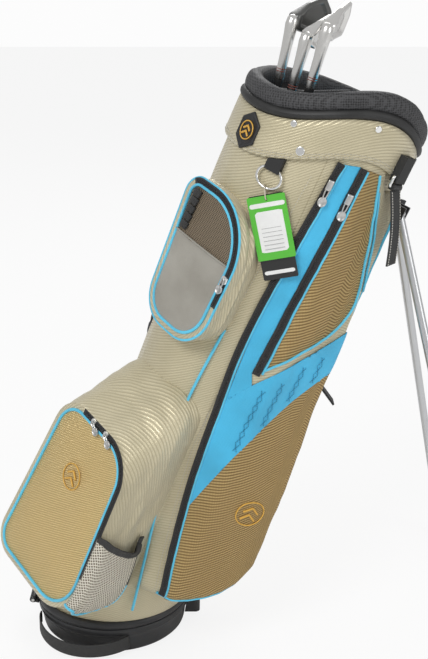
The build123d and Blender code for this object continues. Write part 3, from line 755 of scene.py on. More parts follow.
def dividers():
    """Foam-padded bars across the mouth, edged with bright mesh."""
    def bar(name, ends):
        (x0, y0), (x1, y1) = ends
        line = []
        for f in np.linspace(0, 1, 30):
            x, y = x0 + (x1 - x0) * f, y0 + (y1 - y0) * f
            line.append((x, y, PAD_Z - 0.010 + wave(x, y) - 0.004 * sin(pi * f)))
        body = sweep(name, line, pillow(0.0048, 0.014, 24, 0.6, 0.7), up=[(0, 0, 1)] * 30)
        top = [(p[0], p[1], p[2] + 0.0105) for p in line]
        edge = sweep(name + "_edge", top, pillow(0.0054, 0.0050, 16), up=[(0, 0, 1)] * 30)
        return body, edge
    cross, cross_edge = bar("divider_cross", ((0.020, -0.103), (0.020, 0.103)))
    spur, spur_edge = bar("divider_spur", ((-0.097, 0.034), (0.015, 0.034)))
    dress(cross, SPACER, "top_divider")
    dress(spur, SPACER)
    dress(cross_edge, BLUE_SPACER)
    dress(spur_edge, SPACER)


def badge():
    """Six-sided moulded patch with a raised rim, a ring and two chevrons."""
    angle = radians(-146)

    def at(t, z, lift):
        a = angle + t / COLLAR_R
        return ring_point(a, COLLAR_R + lift, 0.766 + z)

    rings = []
    for k, lift in ((1.0, 0.0004), (1.0, 0.0026), (0.94, 0.0034), (0.88, 0.0034), (0.85, 0.0024),
                    (0.45, 0.0026), (0.0, 0.0027)):
        ring = []
        for i in range(72):
            a = 2 * pi * i / 72
            side = cos(pi / 6) / cos((a + pi / 6) % (pi / 3) - pi / 6)
            ring.append(at(0.0220 * k * side * cos(a), 0.0255 * k * side * sin(a), lift))
        rings.append(ring)
    patch = weld(grid("badge_plate", np.array(rings).transpose(1, 0, 2), closed=True))
    dress(patch, PATCH, "emblem_patch")
    motif("badge_motif", lambda t, z: at(t, z, 0.0032), 0.0120, 0.0009)


def motif(name, at, size, radius):
    """Plain sewn motif: a ring round two stacked chevrons."""
    hoop = [at(size * cos(a), size * sin(a)) for a in around(48)]
    parts = [rope(name + "_hoop", hoop, radius, closed=True)]
    for k in (-1, 1):
        low = k * size * 0.30 - size * 0.12
        corner = [at(-size * 0.55, low - size * 0.12), at(0, low + size * 0.32),
                  at(size * 0.55, low - size * 0.12)]
        parts.append(rope(f"{name}_chevron", even(corner, 15), radius * 1.6))
    dress(join(name, parts), GOLD_THREAD)


# ---------------------------------------------------------------- pockets on the front
BALL = dict(front=rounded_outline([(-0.102, 0.042), (0.106, 0.042), (0.096, 0.328), (-0.072, 0.328)],
                                  [0.038, 0.070, 0.058, 0.050], 140),
            rear=rounded_outline([(-0.088, 0.022), (0.082, 0.022), (0.080, 0.430), (-0.066, 0.430)],
                                 [0.038, 0.070, 0.058, 0.050], 140), n=BALL_N, rear_n=BALL_REAR_N)
OVAL = dict(front=rounded_outline([(-0.048, 0.478), (0.074, 0.478), (0.082, 0.686), (-0.062, 0.684)],
                                  [0.048, 0.054, 0.084, 0.026], 130),
            rear=rounded_outline([(-0.041, 0.485), (0.067, 0.485), (0.075, 0.679), (-0.055, 0.677)],
                                 [0.048, 0.054, 0.078, 0.026], 130), n=OVAL_N, rear_n=OVAL_REAR_N)


def align(outline, low):
    """Start an outline at its lowest point under low."""
    k = int(np.argmin(np.linalg.norm(outline - np.array(low), axis=1)))
    return np.roll(outline, -k, 0)


def gusset(name, pocket, puff, creases, *nodes):
    """Side wall of a pocket, from the bag out to the zip, with soft creases."""
    n_front, n_rear = pocket["n"], pocket["rear_n"]
    front = align(pocket["front"], (0, pocket["front"][:, 1].min()))
    rear = align(pocket["rear"], (0, pocket["rear"][:, 1].min()))
    centre = front.mean(0)
    rows = 34
    points = np.zeros((len(front), rows + 5, 3))
    for i in range(len(front)):
        out = unit(front[i] - centre)
        for j in range(rows):
            f = j / (rows - 1)
            shape = rear[i] * (1 - f) + front[i] * f
            bulge = puff * sin(pi * min(1.0, f * 1.05)) ** 0.8
            p = np.array([shape[0], shape[1], f * 0.12])
            crease = sin(pi * f) * wrinkle((p[0] * 0.30, p[1] * 0.30, f * 0.15), creases, 0.0085, 11)
            fine = wrinkle(p, 55.0, 0.0009, 7)
            shape = shape + out * (bulge + crease + fine - 0.0015)
            points[i, j] = on_face(n_rear + (n_front - n_rear) * f, *shape)
        for k, (step, lift) in enumerate(((0.0012, 0.0016), (0.004, 0.0021), (0.008, 0.0020),
                                          (0.011, 0.0012), (0.016, 0.0))):
            shape = front[i] - out * step
            points[i, rows + k] = on_face(n_front + lift, *shape)
    wall = grid(name, points, closed=True)
    dress(wall, SATIN, *nodes)


def panel(name, outline, n, puff, material, *nodes, cut=None, seed=0.0, edge=0.0015):
    """Puffed front panel inside an outline, made of nested rings."""
    if cut is not None:
        outline = clip(outline, cut)
    centre = outline.mean(0)
    rings = [1.0, 0.985, 0.96, 0.92, 0.86, 0.78, 0.68, 0.57, 0.45, 0.33, 0.21, 0.10, 0.0]
    points = np.zeros((len(outline), len(rings) + 1, 3))
    for i, o in enumerate(outline):
        points[i, 0] = on_face(n - 0.0008, *(centre + (o - centre) * 1.004))
        for j, k in enumerate(rings):
            q = centre + (o - centre) * k
            rise = edge + puff * (1 - k ** 2.6) + wrinkle((q[0], q[1], seed), 17.0,
                                                          0.0016 * min(1, 4 * (1 - k)), seed)
            points[i, j + 1] = on_face(n + rise, *q)
    obj = grid(name, points, closed=True)
    layer = obj.data.uv_layers[0].data
    flat = [(0.0, 0.0)] * (len(outline) * (len(rings) + 1))
    for i, o in enumerate(outline):
        for j, k in enumerate([1.004] + rings):
            flat[i * (len(rings) + 1) + j] = tuple(centre + (o - centre) * k)
    for loop in obj.data.loops:
        layer[loop.index].uv = flat[loop.vertex_index]
    return dress(weld(obj), material, *nodes)


def clip(outline, cut):
    """Part of an outline on one side of a height: cut is (height, keep) with keep 1 above, -1 below."""
    height, keep = cut
    out = [(x, z) for x, z in outline if (z - height) * keep >= 0]
    xs = [x for x, z in outline if abs(z - height) < 0.008]
    line = [(x, height) for x in np.linspace(min(xs), max(xs), 24)]
    ring = out + line
    centre = np.mean(ring, 0)
    ring = sorted(ring, key=lambda q: atan2(q[1] - centre[1], q[0] - centre[0]))
    return even(ring, len(outline), closed=True)


def zip_run(name, line, normals, *nodes, width=0.0095):
    """Zip: two tapes and a row of teeth between them."""
    line = np.array(line)
    up = np.array(normals)
    tape = sweep(name + "_tape", line + up * 0.0008, flat_section(width, 0.0012), up=up)
    tape.data.materials.append(ZIP_TAPE)
    run = run_along(line)
    verts, faces = [], []
    along, side, ups = frames_along(line, up=up)
    pitch = 0.0021
    for k, at in enumerate(np.arange(pitch, run[-1] - pitch, pitch)):
        i = int(np.searchsorted(run, at)) - 1
        f = (at - run[i]) / (run[i + 1] - run[i])
        c = line[i] * (1 - f) + line[i + 1] * f
        shift = 0.0005 if k % 2 else -0.0005
        b = len(verts)
        for dz in (0.0012, 0.0026):
            for dx, dy in ((-0.0017, -0.0006), (0.0017, -0.0006), (0.0017, 0.0006), (-0.0017, 0.0006)):
                shrink = 0.8 if dz > 0.002 else 1.0
                verts.append(c + side[i] * (dx * shrink + shift) + along[i] * dy * shrink + ups[i] * dz)
        faces += [(b + 4, b + 5, b + 6, b + 7), (b, b + 1, b + 5, b + 4), (b + 1, b + 2, b + 6, b + 5),
                  (b + 2, b + 3, b + 7, b + 6), (b + 3, b, b + 4, b + 7), (b + 3, b + 2, b + 1, b)]
    coil = mesh_object(name + "_teeth", verts, faces)
    coil.data.materials.append(ZIP_TEETH)
    return dress(join(name, [tape, coil]), ZIP_TAPE, *nodes)


ZIP_TEETH = plastic("zip_teeth", (0.018, 0.018, 0.019), 0.35)


def face_line(outline, n):
    return np.array([on_face(n, *q) for q in outline])


def ball_pocket():
    normal = on_face(1.0, 0, 0)
    gusset("ball_wall", BALL, 0.006, 15.0, "ball_gusset")
    edge = inset(BALL["front"], PANEL_IN)
    front = panel("ball_panel", edge, BALL_N, 0.0065, PALE_GOLD, "ball_front", seed=2.0)
    piping("ball_piping", face_line(inset(BALL["front"], PIPE_IN), BALL_N + 0.0022), closed=True)
    line = inset(BALL["front"], 0.0050)
    top = [q for q in line if q[1] > 0.125 and q[0] > -0.030]
    top = sorted(top, key=lambda q: atan2(q[1] - 0.165, q[0]))
    zip_run("ball_zipper", face_line(even(top, 150), BALL_N + 0.0019), [normal] * 150, "ball_zip")
    motif("ball_motif", lambda t, z: on_face(BALL_N + 0.0088, t + 0.008, z + 0.236), 0.0185, 0.0009)
    net_pouch()


def wall_t(n, z):
    """Where the right wall of the ball pocket lies at one height and distance from the axis."""
    f = (n - BALL_REAR_N) / (BALL_N - BALL_REAR_N)
    edges = []
    for key in ("rear", "front"):
        outline = BALL[key]
        near = outline[np.abs(outline[:, 1] - max(z, outline[:, 1].min() + 0.012)) < 0.012]
        edges.append(near[:, 0].max())
    return edges[0] * (1 - f) + edges[1] * f + 0.004


def net_pouch():
    """Net pouch on the camera side of the ball pocket, gathered by black elastic."""
    rows, cols = 30, 34
    top = smooth([(0.101, 0.176), (0.106, 0.163), (0.125, 0.167), (0.148, 0.177), (0.168, 0.187),
                  (0.184, 0.197)], cols)
    low = smooth([(0.088, 0.098), (0.094, 0.070), (0.110, 0.055), (0.136, 0.049), (0.164, 0.055),
                  (0.184, 0.076)], cols)
    points = np.zeros((cols, rows, 3))
    for i in range(cols):
        f = i / (cols - 1)
        for j in range(rows):
            g = j / (rows - 1)
            n, z = low[i] * (1 - g) + top[i] * g
            bulge = 0.0105 * sin(pi * f) ** 0.6 * sin(pi * min(1, g * 0.84)) ** 0.6
            fold = 0.0006 * sin(f * 27 + 4 * g) * g ** 2
            fold += wrinkle((n, z, 0), 30.0, 0.0026 * sin(pi * f) * (1 - g ** 4), 6)
            points[i, j] = on_face(n, wall_t(n, z) + 0.0030 + bulge + fold, z)
    wrap = np.zeros((5, rows, 3))
    for k in range(5):
        for j in range(rows):
            z = low[-1][1] + (top[-1][1] - low[-1][1]) * j / (rows - 1)
            wrap[k, j] = on_face(0.1873 + 0.0012 * sin(pi * k / 4),
                                 wall_t(BALL_N, z) - 0.0020 - 0.0026 * k, z)
    points = np.concatenate([points, wrap])
    cols += 5
    obj = thicken(grid("net_pouch", points), 0.0008, 0)
    dress(obj, POUCH_NET, "mesh_pouch")
    out = on_face(0, 1, 0)
    rim = [p + out * 0.0006 for p in points[:, -1]]
    dress(sweep("pouch_elastic", rim, flat_section(0.010, 0.0030), up=[out] * cols), WEBBING)
    rear = smooth([points[0, -1] + np.array([0, 0, 0.012]), points[0, -1], points[0, rows // 2],
                   points[0, 0]], 30)
    dress(sweep("pouch_bind_rear", rear, flat_section(0.008, 0.0026), up=[out] * 30), WEBBING)
    edge = even(points[:, 0], 90)
    piping("pouch_piping", edge + out * 0.0006)


def oval_pocket():
    normal = on_face(1.0, 0, 0)
    gusset("oval_wall", OVAL, 0.004, 16.0, "oval_gusset")
    edge = inset(OVAL["front"], PANEL_IN)
    panel("oval_panel", edge, OVAL_N, 0.002, TAN_NET, "oval_front", seed=5.0)
    pouch = panel("vinyl_pouch", edge, OVAL_N, 0.0062, VINYL, "oval_pouch", cut=(HEM_Z, -1), seed=8.0,
                  edge=0.0026)
    xs = [q[0] for q in edge if abs(q[1] - HEM_Z) < 0.008]
    hem = [on_face(OVAL_N + 0.0034 + 0.0020 * sin(pi * f), min(xs) + (max(xs) - min(xs)) * f, HEM_Z)
           for f in np.linspace(0, 1, 24)]
    dress(rope("pouch_hem", hem, 0.0013), VINYL)
    piping("oval_piping", face_line(inset(OVAL["front"], PIPE_IN), OVAL_N + 0.0022), closed=True)
    outer = face_line(inset(OVAL["front"], 0.0006), OVAL_N + 0.0006)
    piping("oval_outer_piping", outer, 0.0018, closed=True)
    line = inset(OVAL["front"], 0.0054)
    run = [q for q in line if q[1] > 0.545 and not (q[0] < -0.030 and q[1] < 0.672)]
    run = sorted(run, key=lambda q: atan2(q[1] - 0.58, q[0] + 0.01))
    zip_run("oval_zipper", face_line(even(run, 120), OVAL_N + 0.0019), [normal] * 120, "oval_zip")
    tee_loops()


def tee_loops():
    """Five gathered elastic loops for tees."""
    parts = []
    for k in range(5):
        z = 0.616 + 0.0115 * k
        line = [on_face(OVAL_N + 0.0036 + 0.0042 * sin(pi * f) ** 0.7, -0.0405 + 0.013 * f,
                        z + 0.0025 * sin(pi * f)) for f in np.linspace(0, 1, 15)]
        up = [on_face(sin(pi * f) + 0.2, (f - 0.5) * 1.6, 0) for f in np.linspace(0, 1, 15)]
        parts.append(sweep(f"tee_loop_{k}", line, flat_section(0.0105, 0.0022), up=up))
    dress(join("tee_elastic", parts), WEBBING, "tee_holder")


# ---------------------------------------------------------------- garment pockets
SIDE_ANGLES = [radians(a) for a in (-91.0, -64.0, -31.0, -19.0)]
SIDE_TOP_Z, SIDE_FOOT_Z, STRAP_CUT_Z = 0.800, 0.110, 0.764
SIDE_COLS = 150
RIM_COL = int(SIDE_COLS * 0.80)                      # the column at the pocket's outer corner
ZIP_LINE = [(0.0155, 0.782), (-0.001, 0.540), (0.006, 0.400), (0.020, 0.262), (0.048, 0.100)]
SECOND_ZIP = [(0.0460, 0.786), (0.033, 0.474)]
ZIP_SIDE = 0.0055


def side_section(z):
    """Cross-section of the garment pocket at z, from the zip side round to the leg side."""
    k = (SIDE_TOP_Z - z) / (SIDE_TOP_Z - SIDE_FOOT_Z)
    r = tube_r(z)
    start, mid, rim, end = SIDE_ANGLES
    corners = [(r, start), (0.1242 + 0.0158 * k, mid), (0.134 + 0.058 * k, rim), (r, end)]
    line = even([(q * cos(a), q * sin(a)) for q, a in corners], SIDE_COLS)
    for _ in range(14):
        line[1:-1] = (line[:-2] + 2 * line[1:-1] + line[2:]) / 4
    f = np.linspace(0, 1, SIDE_COLS)
    puff = 0.0030 * np.sin(np.pi * np.clip(f / 0.72, 0, 1)) * (0.4 + 0.6 * k)
    along = units(np.gradient(line, axis=0))
    line = line + np.stack([along[:, 1], -along[:, 0]], -1) * puff[:, None]
    return line


def side_ends(i):
    """Foot and top of the pocket at column i: the foot corner is round, and the top runs under the band."""
    k = min(i, int(SIDE_COLS * 0.78))
    x = side_section(0.16)[k][0]
    foot = float(np.interp(x, [0.060, 0.085, 0.107, 0.128, 0.146, 0.158, 0.166],
                           [0.087, 0.091, 0.100, 0.112, 0.131, 0.160, 0.200]))
    x = side_section(0.78)[i][0]
    cut = float(np.interp(x, [0.080, 0.092], [1.0, 0.0]))
    return foot, (BAND_Z + wave(x) + 0.002) * cut + STRAP_CUT_Z * (1 - cut)


ENDS = []


def side_rise(z, ends):
    """How far the pocket stands off the bag: none at its two ends."""
    foot = min(1.0, max(0.0, (z - ends[0]) / 0.022))
    top = min(1.0, max(0.0, (ends[1] - z) / 0.012))
    return sqrt(1 - (1 - foot) ** 2) * sqrt(1 - (1 - top) ** 2)


def side_rows():
    """Places of the rows, from 0 at the foot to 1 at the top."""
    foot = [0.040 * (1 - cos(pi / 2 * k / 9)) for k in range(9)]
    top = [1 - 0.020 * (1 - cos(pi / 2 * k / 6)) for k in range(6, -1, -1)]
    return foot + list(np.linspace(0.040, 0.980, 150)[:-1]) + top


def side_point(i, z, section, hand=1):
    r = tube_r(z)
    x, y = section[i]
    a = atan2(y, x)
    k = side_rise(z, ENDS[i])
    bx, by = r * cos(a), r * sin(a)
    x, y = bx + (x - bx) * k, by + (y - by) * k
    edge = min(1.0, 10 * i / SIDE_COLS, 10 * (SIDE_COLS - 1 - i) / SIDE_COLS) * k
    push = edge * (wrinkle((x * 1.2, y, z * 0.9), 9.0, 0.0032, 4 * hand)
                    + wrinkle((x, y, z), 34.0, 0.0008, 9))
    length = hypot(x, y)
    return np.array([x * (1 + push / length), y * (1 + push / length) * hand, z])


def side_shell(hand):
    levels = [[low + (high - low) * f for f in side_rows()] for low, high in ENDS]
    return [[side_point(i, z, side_section(z), hand) for z in column] for i, column in enumerate(levels)]


ENDS += [side_ends(i) for i in range(SIDE_COLS)]


def on_side(x, z, lift=0.0):
    """Point on the front of the garment pocket at x and z, and its normal there."""
    section = side_section(z)
    i = int(np.clip(np.searchsorted(section[:RIM_COL, 0], x), 1, RIM_COL - 1))
    f = float(np.clip((x - section[i - 1, 0]) / (section[i, 0] - section[i - 1, 0]), 0, 1))
    a, b = side_point(i - 1, z, section), side_point(i, z, section)
    along = b - a
    normal = unit(np.array([along[1], -along[0], 0.0]))
    return a + along * f + normal * lift, normal


def side_line(points, count, lift):
    flat = even(smooth(points, 120), count)
    found = [on_side(x, z, lift) for x, z in flat]
    return [p for p, _ in found], [n for _, n in found]


WAVE_EDGE = [(0.028, 0.250), (0.047, 0.324), (0.066, 0.380), (0.096, 0.446), (0.141, 0.514), (0.200, 0.590)]
WAVE_TOP = [(0.012, 0.424), (0.033 + ZIP_SIDE, 0.462), (0.073, 0.502), (0.135, 0.570), (0.200, 0.650)]
RIGHT_PIPE = [(0.071, 0.784), (0.080, 0.756), (0.098, 0.700), (0.118, 0.630), (0.121, 0.598), (0.109, 0.563),
              (0.073, 0.520), (0.040, 0.483)]


def split_faces(bm, line):
    """Cut a mesh that lies in the bag's frame along a line of (x, z) points."""
    for (x0, z0), (x1, z1) in zip(line, line[1:]):
        length = hypot(x1 - x0, z1 - z0)
        dx, dz = (x1 - x0) / length, (z1 - z0) / length
        near = []
        for face in bm.faces:
            c = face.calc_center_median()
            along = (c.x - x0) * dx + (c.z - z0) * dz
            off = (c.x - x0) * dz - (c.z - z0) * dx
            if -0.008 < along < length + 0.008 and abs(off) < 0.009:
                near.append(face)
        geometry = near + list({e for f in near for e in f.edges}) + list({v for f in near for v in f.verts})
        bmesh.ops.bisect_plane(bm, geom=geometry, plane_co=(x0, 0, z0), plane_no=(dz, 0, -dx), dist=1e-6)


def inside(x, z, polygon):
    hit = False
    for (x0, z0), (x1, z1) in zip(polygon, polygon[1:] + polygon[:1]):
        if (z0 > z) != (z1 > z) and x < x0 + (x1 - x0) * (z - z0) / (z1 - z0):
            hit = not hit
    return hit


def cut_panel(name, source, outline, material, lift, *nodes, front_only=True):
    """Panel of fabric cut out of the pocket's surface and lifted off it."""
    bm = bmesh.new()
    bm.from_mesh(source)
    split_faces(bm, outline + outline[:1])
    bm.normal_update()
    keep = []
    for face in bm.faces:
        c = face.calc_center_median()
        if inside(c.x, c.z, outline) and (c.y < -0.071 or not front_only):
            keep.append(face)
    bmesh.ops.delete(bm, geom=[f for f in bm.faces if f not in set(keep)], context="FACES")
    outward = sum(f.normal.x * f.calc_center_median().x + f.normal.y * f.calc_center_median().y
                  for f in bm.faces)
    if outward < 0:
        bmesh.ops.reverse_faces(bm, faces=bm.faces)
    bm.normal_update()
    for vert in bm.verts:
        vert.co += vert.normal * lift
    mesh = bpy.data.meshes.new(name)
    bm.to_mesh(mesh)
    bm.free()
    mesh.transform(BAG)
    for polygon in mesh.polygons:
        polygon.use_smooth = True
    return dress(thicken(placed(name, mesh), 0.0012), material, *nodes)


def garment():
    points = side_shell(1)
    shell = grid("garment_shell", points, flip=True)
    source = shell.data.copy()
    source.transform(BAG.inverted())
    dress(shell, SATIN, "garment_pocket")
    curve = [tuple(q) for q in smooth(WAVE_EDGE, 30)]
    top = [tuple(q) for q in smooth(WAVE_TOP, 16)]
    zip_right = [(x + ZIP_SIDE, z) for x, z in ZIP_LINE]
    upper = ([(0.046 + ZIP_SIDE, 0.786)] + [tuple(q) for q in smooth(RIGHT_PIPE, 30)]
             + [(0.034 + ZIP_SIDE, 0.480)])
    stripe = [(0.046 - ZIP_SIDE, 0.786), (0.0155 + ZIP_SIDE, 0.782), (-0.001 + ZIP_SIDE, 0.540),
              (0.006 + ZIP_SIDE, 0.412), (0.033 + ZIP_SIDE, 0.448), (0.033 - ZIP_SIDE, 0.474)]
    lower_left = [(0.020 + ZIP_SIDE, 0.262), (0.048 + ZIP_SIDE, 0.095)]
    wave_ring = curve + top[::-1] + [(0.006 + ZIP_SIDE, 0.405), (0.020 + ZIP_SIDE, 0.262)]
    lower = curve[::-1] + lower_left + [(0.060, 0.080), (0.200, 0.080)]
    cut_panel("upper_panel", source, upper, GOLD, 0.0018, "garment_upper")
    cut_panel("wave_band", source, wave_ring, BLUE, 0.0021, "garment_wave", front_only=False)
    cut_panel("blue_stripe", source, stripe, BLUE, 0.0019)
    cut_panel("lower_panel", source, lower, GOLD, 0.0018, "garment_lower", front_only=False)
    garment_trim(zip_right)
    quilting()
    motif("garment_motif", lambda t, z: on_side(0.113 + t, 0.268 + z, 0.0024)[0], 0.0200, 0.0010)


def garment_trim(zip_right):
    for name, line, nodes in (("long_zipper", ZIP_LINE, "long_zip"),
                              ("second_zipper", SECOND_ZIP, "second_zip")):
        points, normals = side_line(line, 200, 0.0022)
        zip_run(name, points, normals, nodes, width=0.0110)
    runs = {"zip_piping": (zip_right, 0.0022), "panel_piping": (RIGHT_PIPE, 0.0026),
            "outer_piping": ([(0.081, 0.762), (0.107, 0.692), (0.127, 0.620), (0.136, 0.548)], 0.0014),
            "second_piping": ([(0.047 + ZIP_SIDE, 0.784), (0.035 + ZIP_SIDE, 0.478)], 0.0022)}
    for name, (line, lift) in runs.items():
        piping(name, side_line(line, 120, lift)[0], 0.0018)
    places = [(i, ENDS[i][0] + 0.013) for i in range(int(SIDE_COLS * 0.16), RIM_COL)]
    places += [(RIM_COL, z) for z in np.linspace(ENDS[RIM_COL][0] + 0.02, 0.735, 60)]
    foot = [side_point(i, z, side_section(z)) for i, z in places]
    foot = even(smooth(foot, 240), 200) * (1 + 0.0016 / 0.13, 1 + 0.0016 / 0.13, 1)
    piping("foot_piping", foot, 0.0020)
    for name, shift in (("zip_stitch_left", -0.0085), ("zip_stitch_strip", -0.013)):
        points, normals = side_line([(x + shift, z) for x, z in ZIP_LINE[1:]], 120, 0.0006)
        dress(stitches(name, points, normals), WHITE_THREAD)


def quilting():
    """Four columns of crossed stitches on the wave band."""
    parts = []
    for x, low, high in ((0.052, 0.356, 0.464), (0.072, 0.404, 0.488), (0.092, 0.448, 0.510),
                         (0.112, 0.482, 0.534)):
        n = int((high - low) / 0.0145)
        for side in (-1, 1):
            zig = [(x + side * (0.0032 if k % 2 else -0.0032), low + 0.0145 * k) for k in range(n + 1)]
            found = [on_side(a, b, 0.0028) for a, b in even(zig, 12 * n)]
            parts.append(stitches(f"quilt_{x}_{side}", [p for p, _ in found], [q for _, q in found],
                                  pitch=0.0032, length=0.0026, radius=0.0005))
    dress(join("quilt_stitches", parts), thread("blue_thread", (0.03, 0.27, 0.46)), slot="blue_fabric")


def far_pocket():
    points = side_shell(-1)
    dress(grid("far_shell", points), GOLD, "far_pocket")


def side_strip():
    """Piping and stitching on the bag itself, between the front pockets and the long zip."""
    knots = [(-105, 0.515), (-108, 0.388), (-101, 0.285), (-93, 0.193), (-80, 0.050)]
    line = smooth([(radians(a), z) for a, z in knots], 90)
    points = [ring_point(a, tube_r(z) + 0.0028 + 0.0050 * min(1.0, max(0.0, (0.27 - z) / 0.06)), z)
              for a, z in line]
    piping("strip_piping", points, 0.0021)
    upper = smooth([(radians(a), z) for a, z in ((-96, 0.755), (-100, 0.640), (-105, 0.515))], 60)
    seam = [ring_point(a, tube_r(z) + 0.0016, z) for a, z in upper]
    dress(stitches("strip_seam", seam, [(p[0], p[1], 0) for p in seam]), WHITE_THREAD)


# ---------------------------------------------------------------- back of the bag
def hip_pad():
    angle, rows, cols = radians(143), 60, 34
    outline_t, outline_z = 0.041, 0.117
    points = np.zeros((cols, rows, 3))
    for i in range(cols):
        for j in range(rows):
            u, v = 2 * i / (cols - 1) - 1, 2 * j / (rows - 1) - 1
            t, z = outline_t * u * (1 - 0.10 * v * v), 0.520 + outline_z * v * (1 - 0.05 * u * u)
            fall = (1 - abs(u) ** 3.2) * (1 - abs(v) ** 7)
            channel = 0.0026 * (abs(sin(v * pi * 2.5)) ** 0.4 - 1) * (fall > 0.25)
            lift = 0.0012 + 0.0125 * max(0, fall) ** 0.45 + channel
            points[i, j] = ring_point(angle + t / tube_r(z), tube_r(z) + lift, z)
    pad = grid("hip_cushion", points)
    dress(pad, SPACER, "hip_pad")
    rim = [points[i, 0] for i in range(cols)] + [points[-1, j] for j in range(1, rows)]
    rim += [points[i, -1] for i in range(cols - 2, -1, -1)] + [points[0, j] for j in range(rows - 2, 0, -1)]
    dress(rope("hip_binding", even(rim, 160, closed=True), 0.0024, closed=True), WEBBING)


def shoulder_strap():
    angle = radians(112)
    out = np.array([cos(angle), sin(angle), 0])
    line, up = [], []
    for f in np.linspace(0, 1, 60):
        z = 0.730 - 0.490 * f
        line.append(out * (tube_r(z) + 0.004 + 0.052 * sin(pi * f) ** 0.85) + np.array([0, 0, z]))
        up.append(out)
    pad = sweep("strap_cushion", line, pillow(0.023, 0.00525, 28, 0.45), up=up)
    dress(pad, SPACER, "shoulder_strap")
    for side, name in ((-1, "strap_edge_a"), (1, "strap_edge_b")):
        across = np.array([-sin(angle), cos(angle), 0]) * side * 0.0225
        dress(rope(name, [p + across for p in line], 0.0028), WEBBING)
    web = [p + out * 0.0062 for p in line]
    dress(sweep("strap_webbing", web, flat_section(0.020, 0.0016), up=up), WEBBING)


# ---------------------------------------------------------------- ring, tags, straps
def tag_print(name, node, panels):
    """Blank label blocks and plain rules on a tag's outer face."""
    vertices = np.array([v.co for v in NODES[node].data.vertices])
    normals = [(p.area, p.normal.copy()) for p in NODES[node].data.polygons]
    out = np.array(max(normals, key=lambda q: q[0])[1])
    if out[1] > 0:
        out = -out
    body = vertices - vertices.mean(0)
    values, vectors = np.linalg.eigh(body.T @ body)
    down = vectors[:, 2] * (-1 if vectors[2, 2] > 0 else 1)
    side = np.cross(out, down)
    mid = np.array([(body @ d).max() + (body @ d).min() for d in (side, down, out)]) / 2
    centre = vertices.mean(0) + side * mid[0] + down * mid[1]
    face = (body @ out).max()
    for k, (u0, u1, v0, v1, material) in enumerate(panels):
        corners = [(u0, v0), (u1, v0), (u1, v1), (u0, v1)]
        outline = np.array([(a, -b) for a, b in corners])
        if min(u1 - u0, v1 - v0) > 0.004:
            outline = rounded_outline(outline[::-1], [0.0012] * 4, 32)
        lift = 0.00012 * (k + 1)
        verts = [centre + side * a - down * b + out * (face + lift) for a, b in outline]
        low_verts = [v - out * 0.0001 * (k + 1) for v in verts]
        n = len(verts)
        faces = [tuple(range(n))] + [(i, n + i, n + (i + 1) % n, (i + 1) % n) for i in range(n)]
        obj = mesh_object(f"{name}_{k}", verts + low_verts, faces, leaned=False)
        for polygon in obj.data.polygons:
            polygon.use_smooth = False
        dress(obj, material, body="tags", slot="green_card")


def axes_of(name):
    """Middle of a CAD node, its long, wide and thin directions, and its lengths along them. Long is down."""
    vertices = np.array([v.co for v in NODES[name].data.vertices])
    body = vertices - vertices.mean(0)
    _, vectors = np.linalg.eigh(body.T @ body)
    down, side, out = vectors[:, 2], vectors[:, 1], vectors[:, 0]
    if down[2] > 0:
        down = -down
    spans = [((body @ d).min(), (body @ d).max()) for d in (down, side, out)]
    centre = vertices.mean(0) + sum(d * (a + b) / 2 for d, (a, b) in zip((down, side, out), spans))
    return centre, (down, side, out), [b - a for a, b in spans]


def zip_pull(name, slider=True):
    """Oval tab with a raised rim on a wire link."""
    centre, (down, side, out), (length, width, _) = axes_of(name)
    half = width / 2
    drop = length / 2 - half * 1.15
    parts = []

    def at(u, v, w=0.0, middle=drop):
        return centre + down * (middle + u) + side * v + out * w

    rings = []
    for k, w in ((0.0, 0.0008), (0.80, 0.0008), (0.86, 0.0014), (0.95, 0.0014), (1.0, 0.0008),
                 (1.0, -0.0008), (0.95, -0.0014), (0.86, -0.0014), (0.80, -0.0008), (0.0, -0.0008)):
        rings.append([at(half * 1.15 * k * cos(a), half * k * sin(a), w)
                      for a in around(40)])
    parts.append(weld(grid(name + "_disc", np.array(rings).transpose(1, 0, 2), closed=True, leaned=False)))
    reach = length - half * 2.3 + 0.004
    link = [at(reach / 2 * cos(a), half * 0.42 * sin(a), 0, -length / 2 + reach / 2)
            for a in around(28)]
    parts.append(rope(name + "_link", link, 0.0010, closed=True, leaned=False, up=[out] * len(link)))
    if slider:
        line = [at(u, 0, -0.0006, -length / 2 + 0.004) for u in np.linspace(-0.006, 0.008, 8)]
        parts.append(sweep(name + "_slider", line, pillow(0.0042, 0.0020, 20, 0.6), up=[out] * 8,
                           leaned=False))
    dress(join(name + "_metal", parts), STEEL, name, body=name)


def hardware():
    for name in ("ball_pull_a", "ball_pull_b", "oval_pull"):
        zip_pull(name, slider=False)
    zip_pull("long_pull")
    zip_pull("second_pull")
    centre, (down, side, out), (length, width, _) = axes_of("d_ring")
    hoop = [centre + down * length / 2.13 * cos(a) + side * width / 2.15 * sin(a)
            for a in around(60)]
    dress(rope("split_ring", hoop, 0.0018, closed=True, leaned=False, up=[out] * 60), CHROME, "d_ring",
          body="ring")


def tags():
    rules = [(-0.013, 0.013, 0.0055 * k, 0.0006 + 0.0055 * k, PRINT) for k in range(6)]
    tag_print("green_print", "tag_green", [(-0.018, 0.018, -0.022, 0.032, WHITE),
                                           (-0.023, 0.023, -0.033, -0.027, WHITE)]
              + rules)
    tag_print("black_print", "tag_black", [(-0.020, 0.020, 0.044, 0.049, WHITE)])


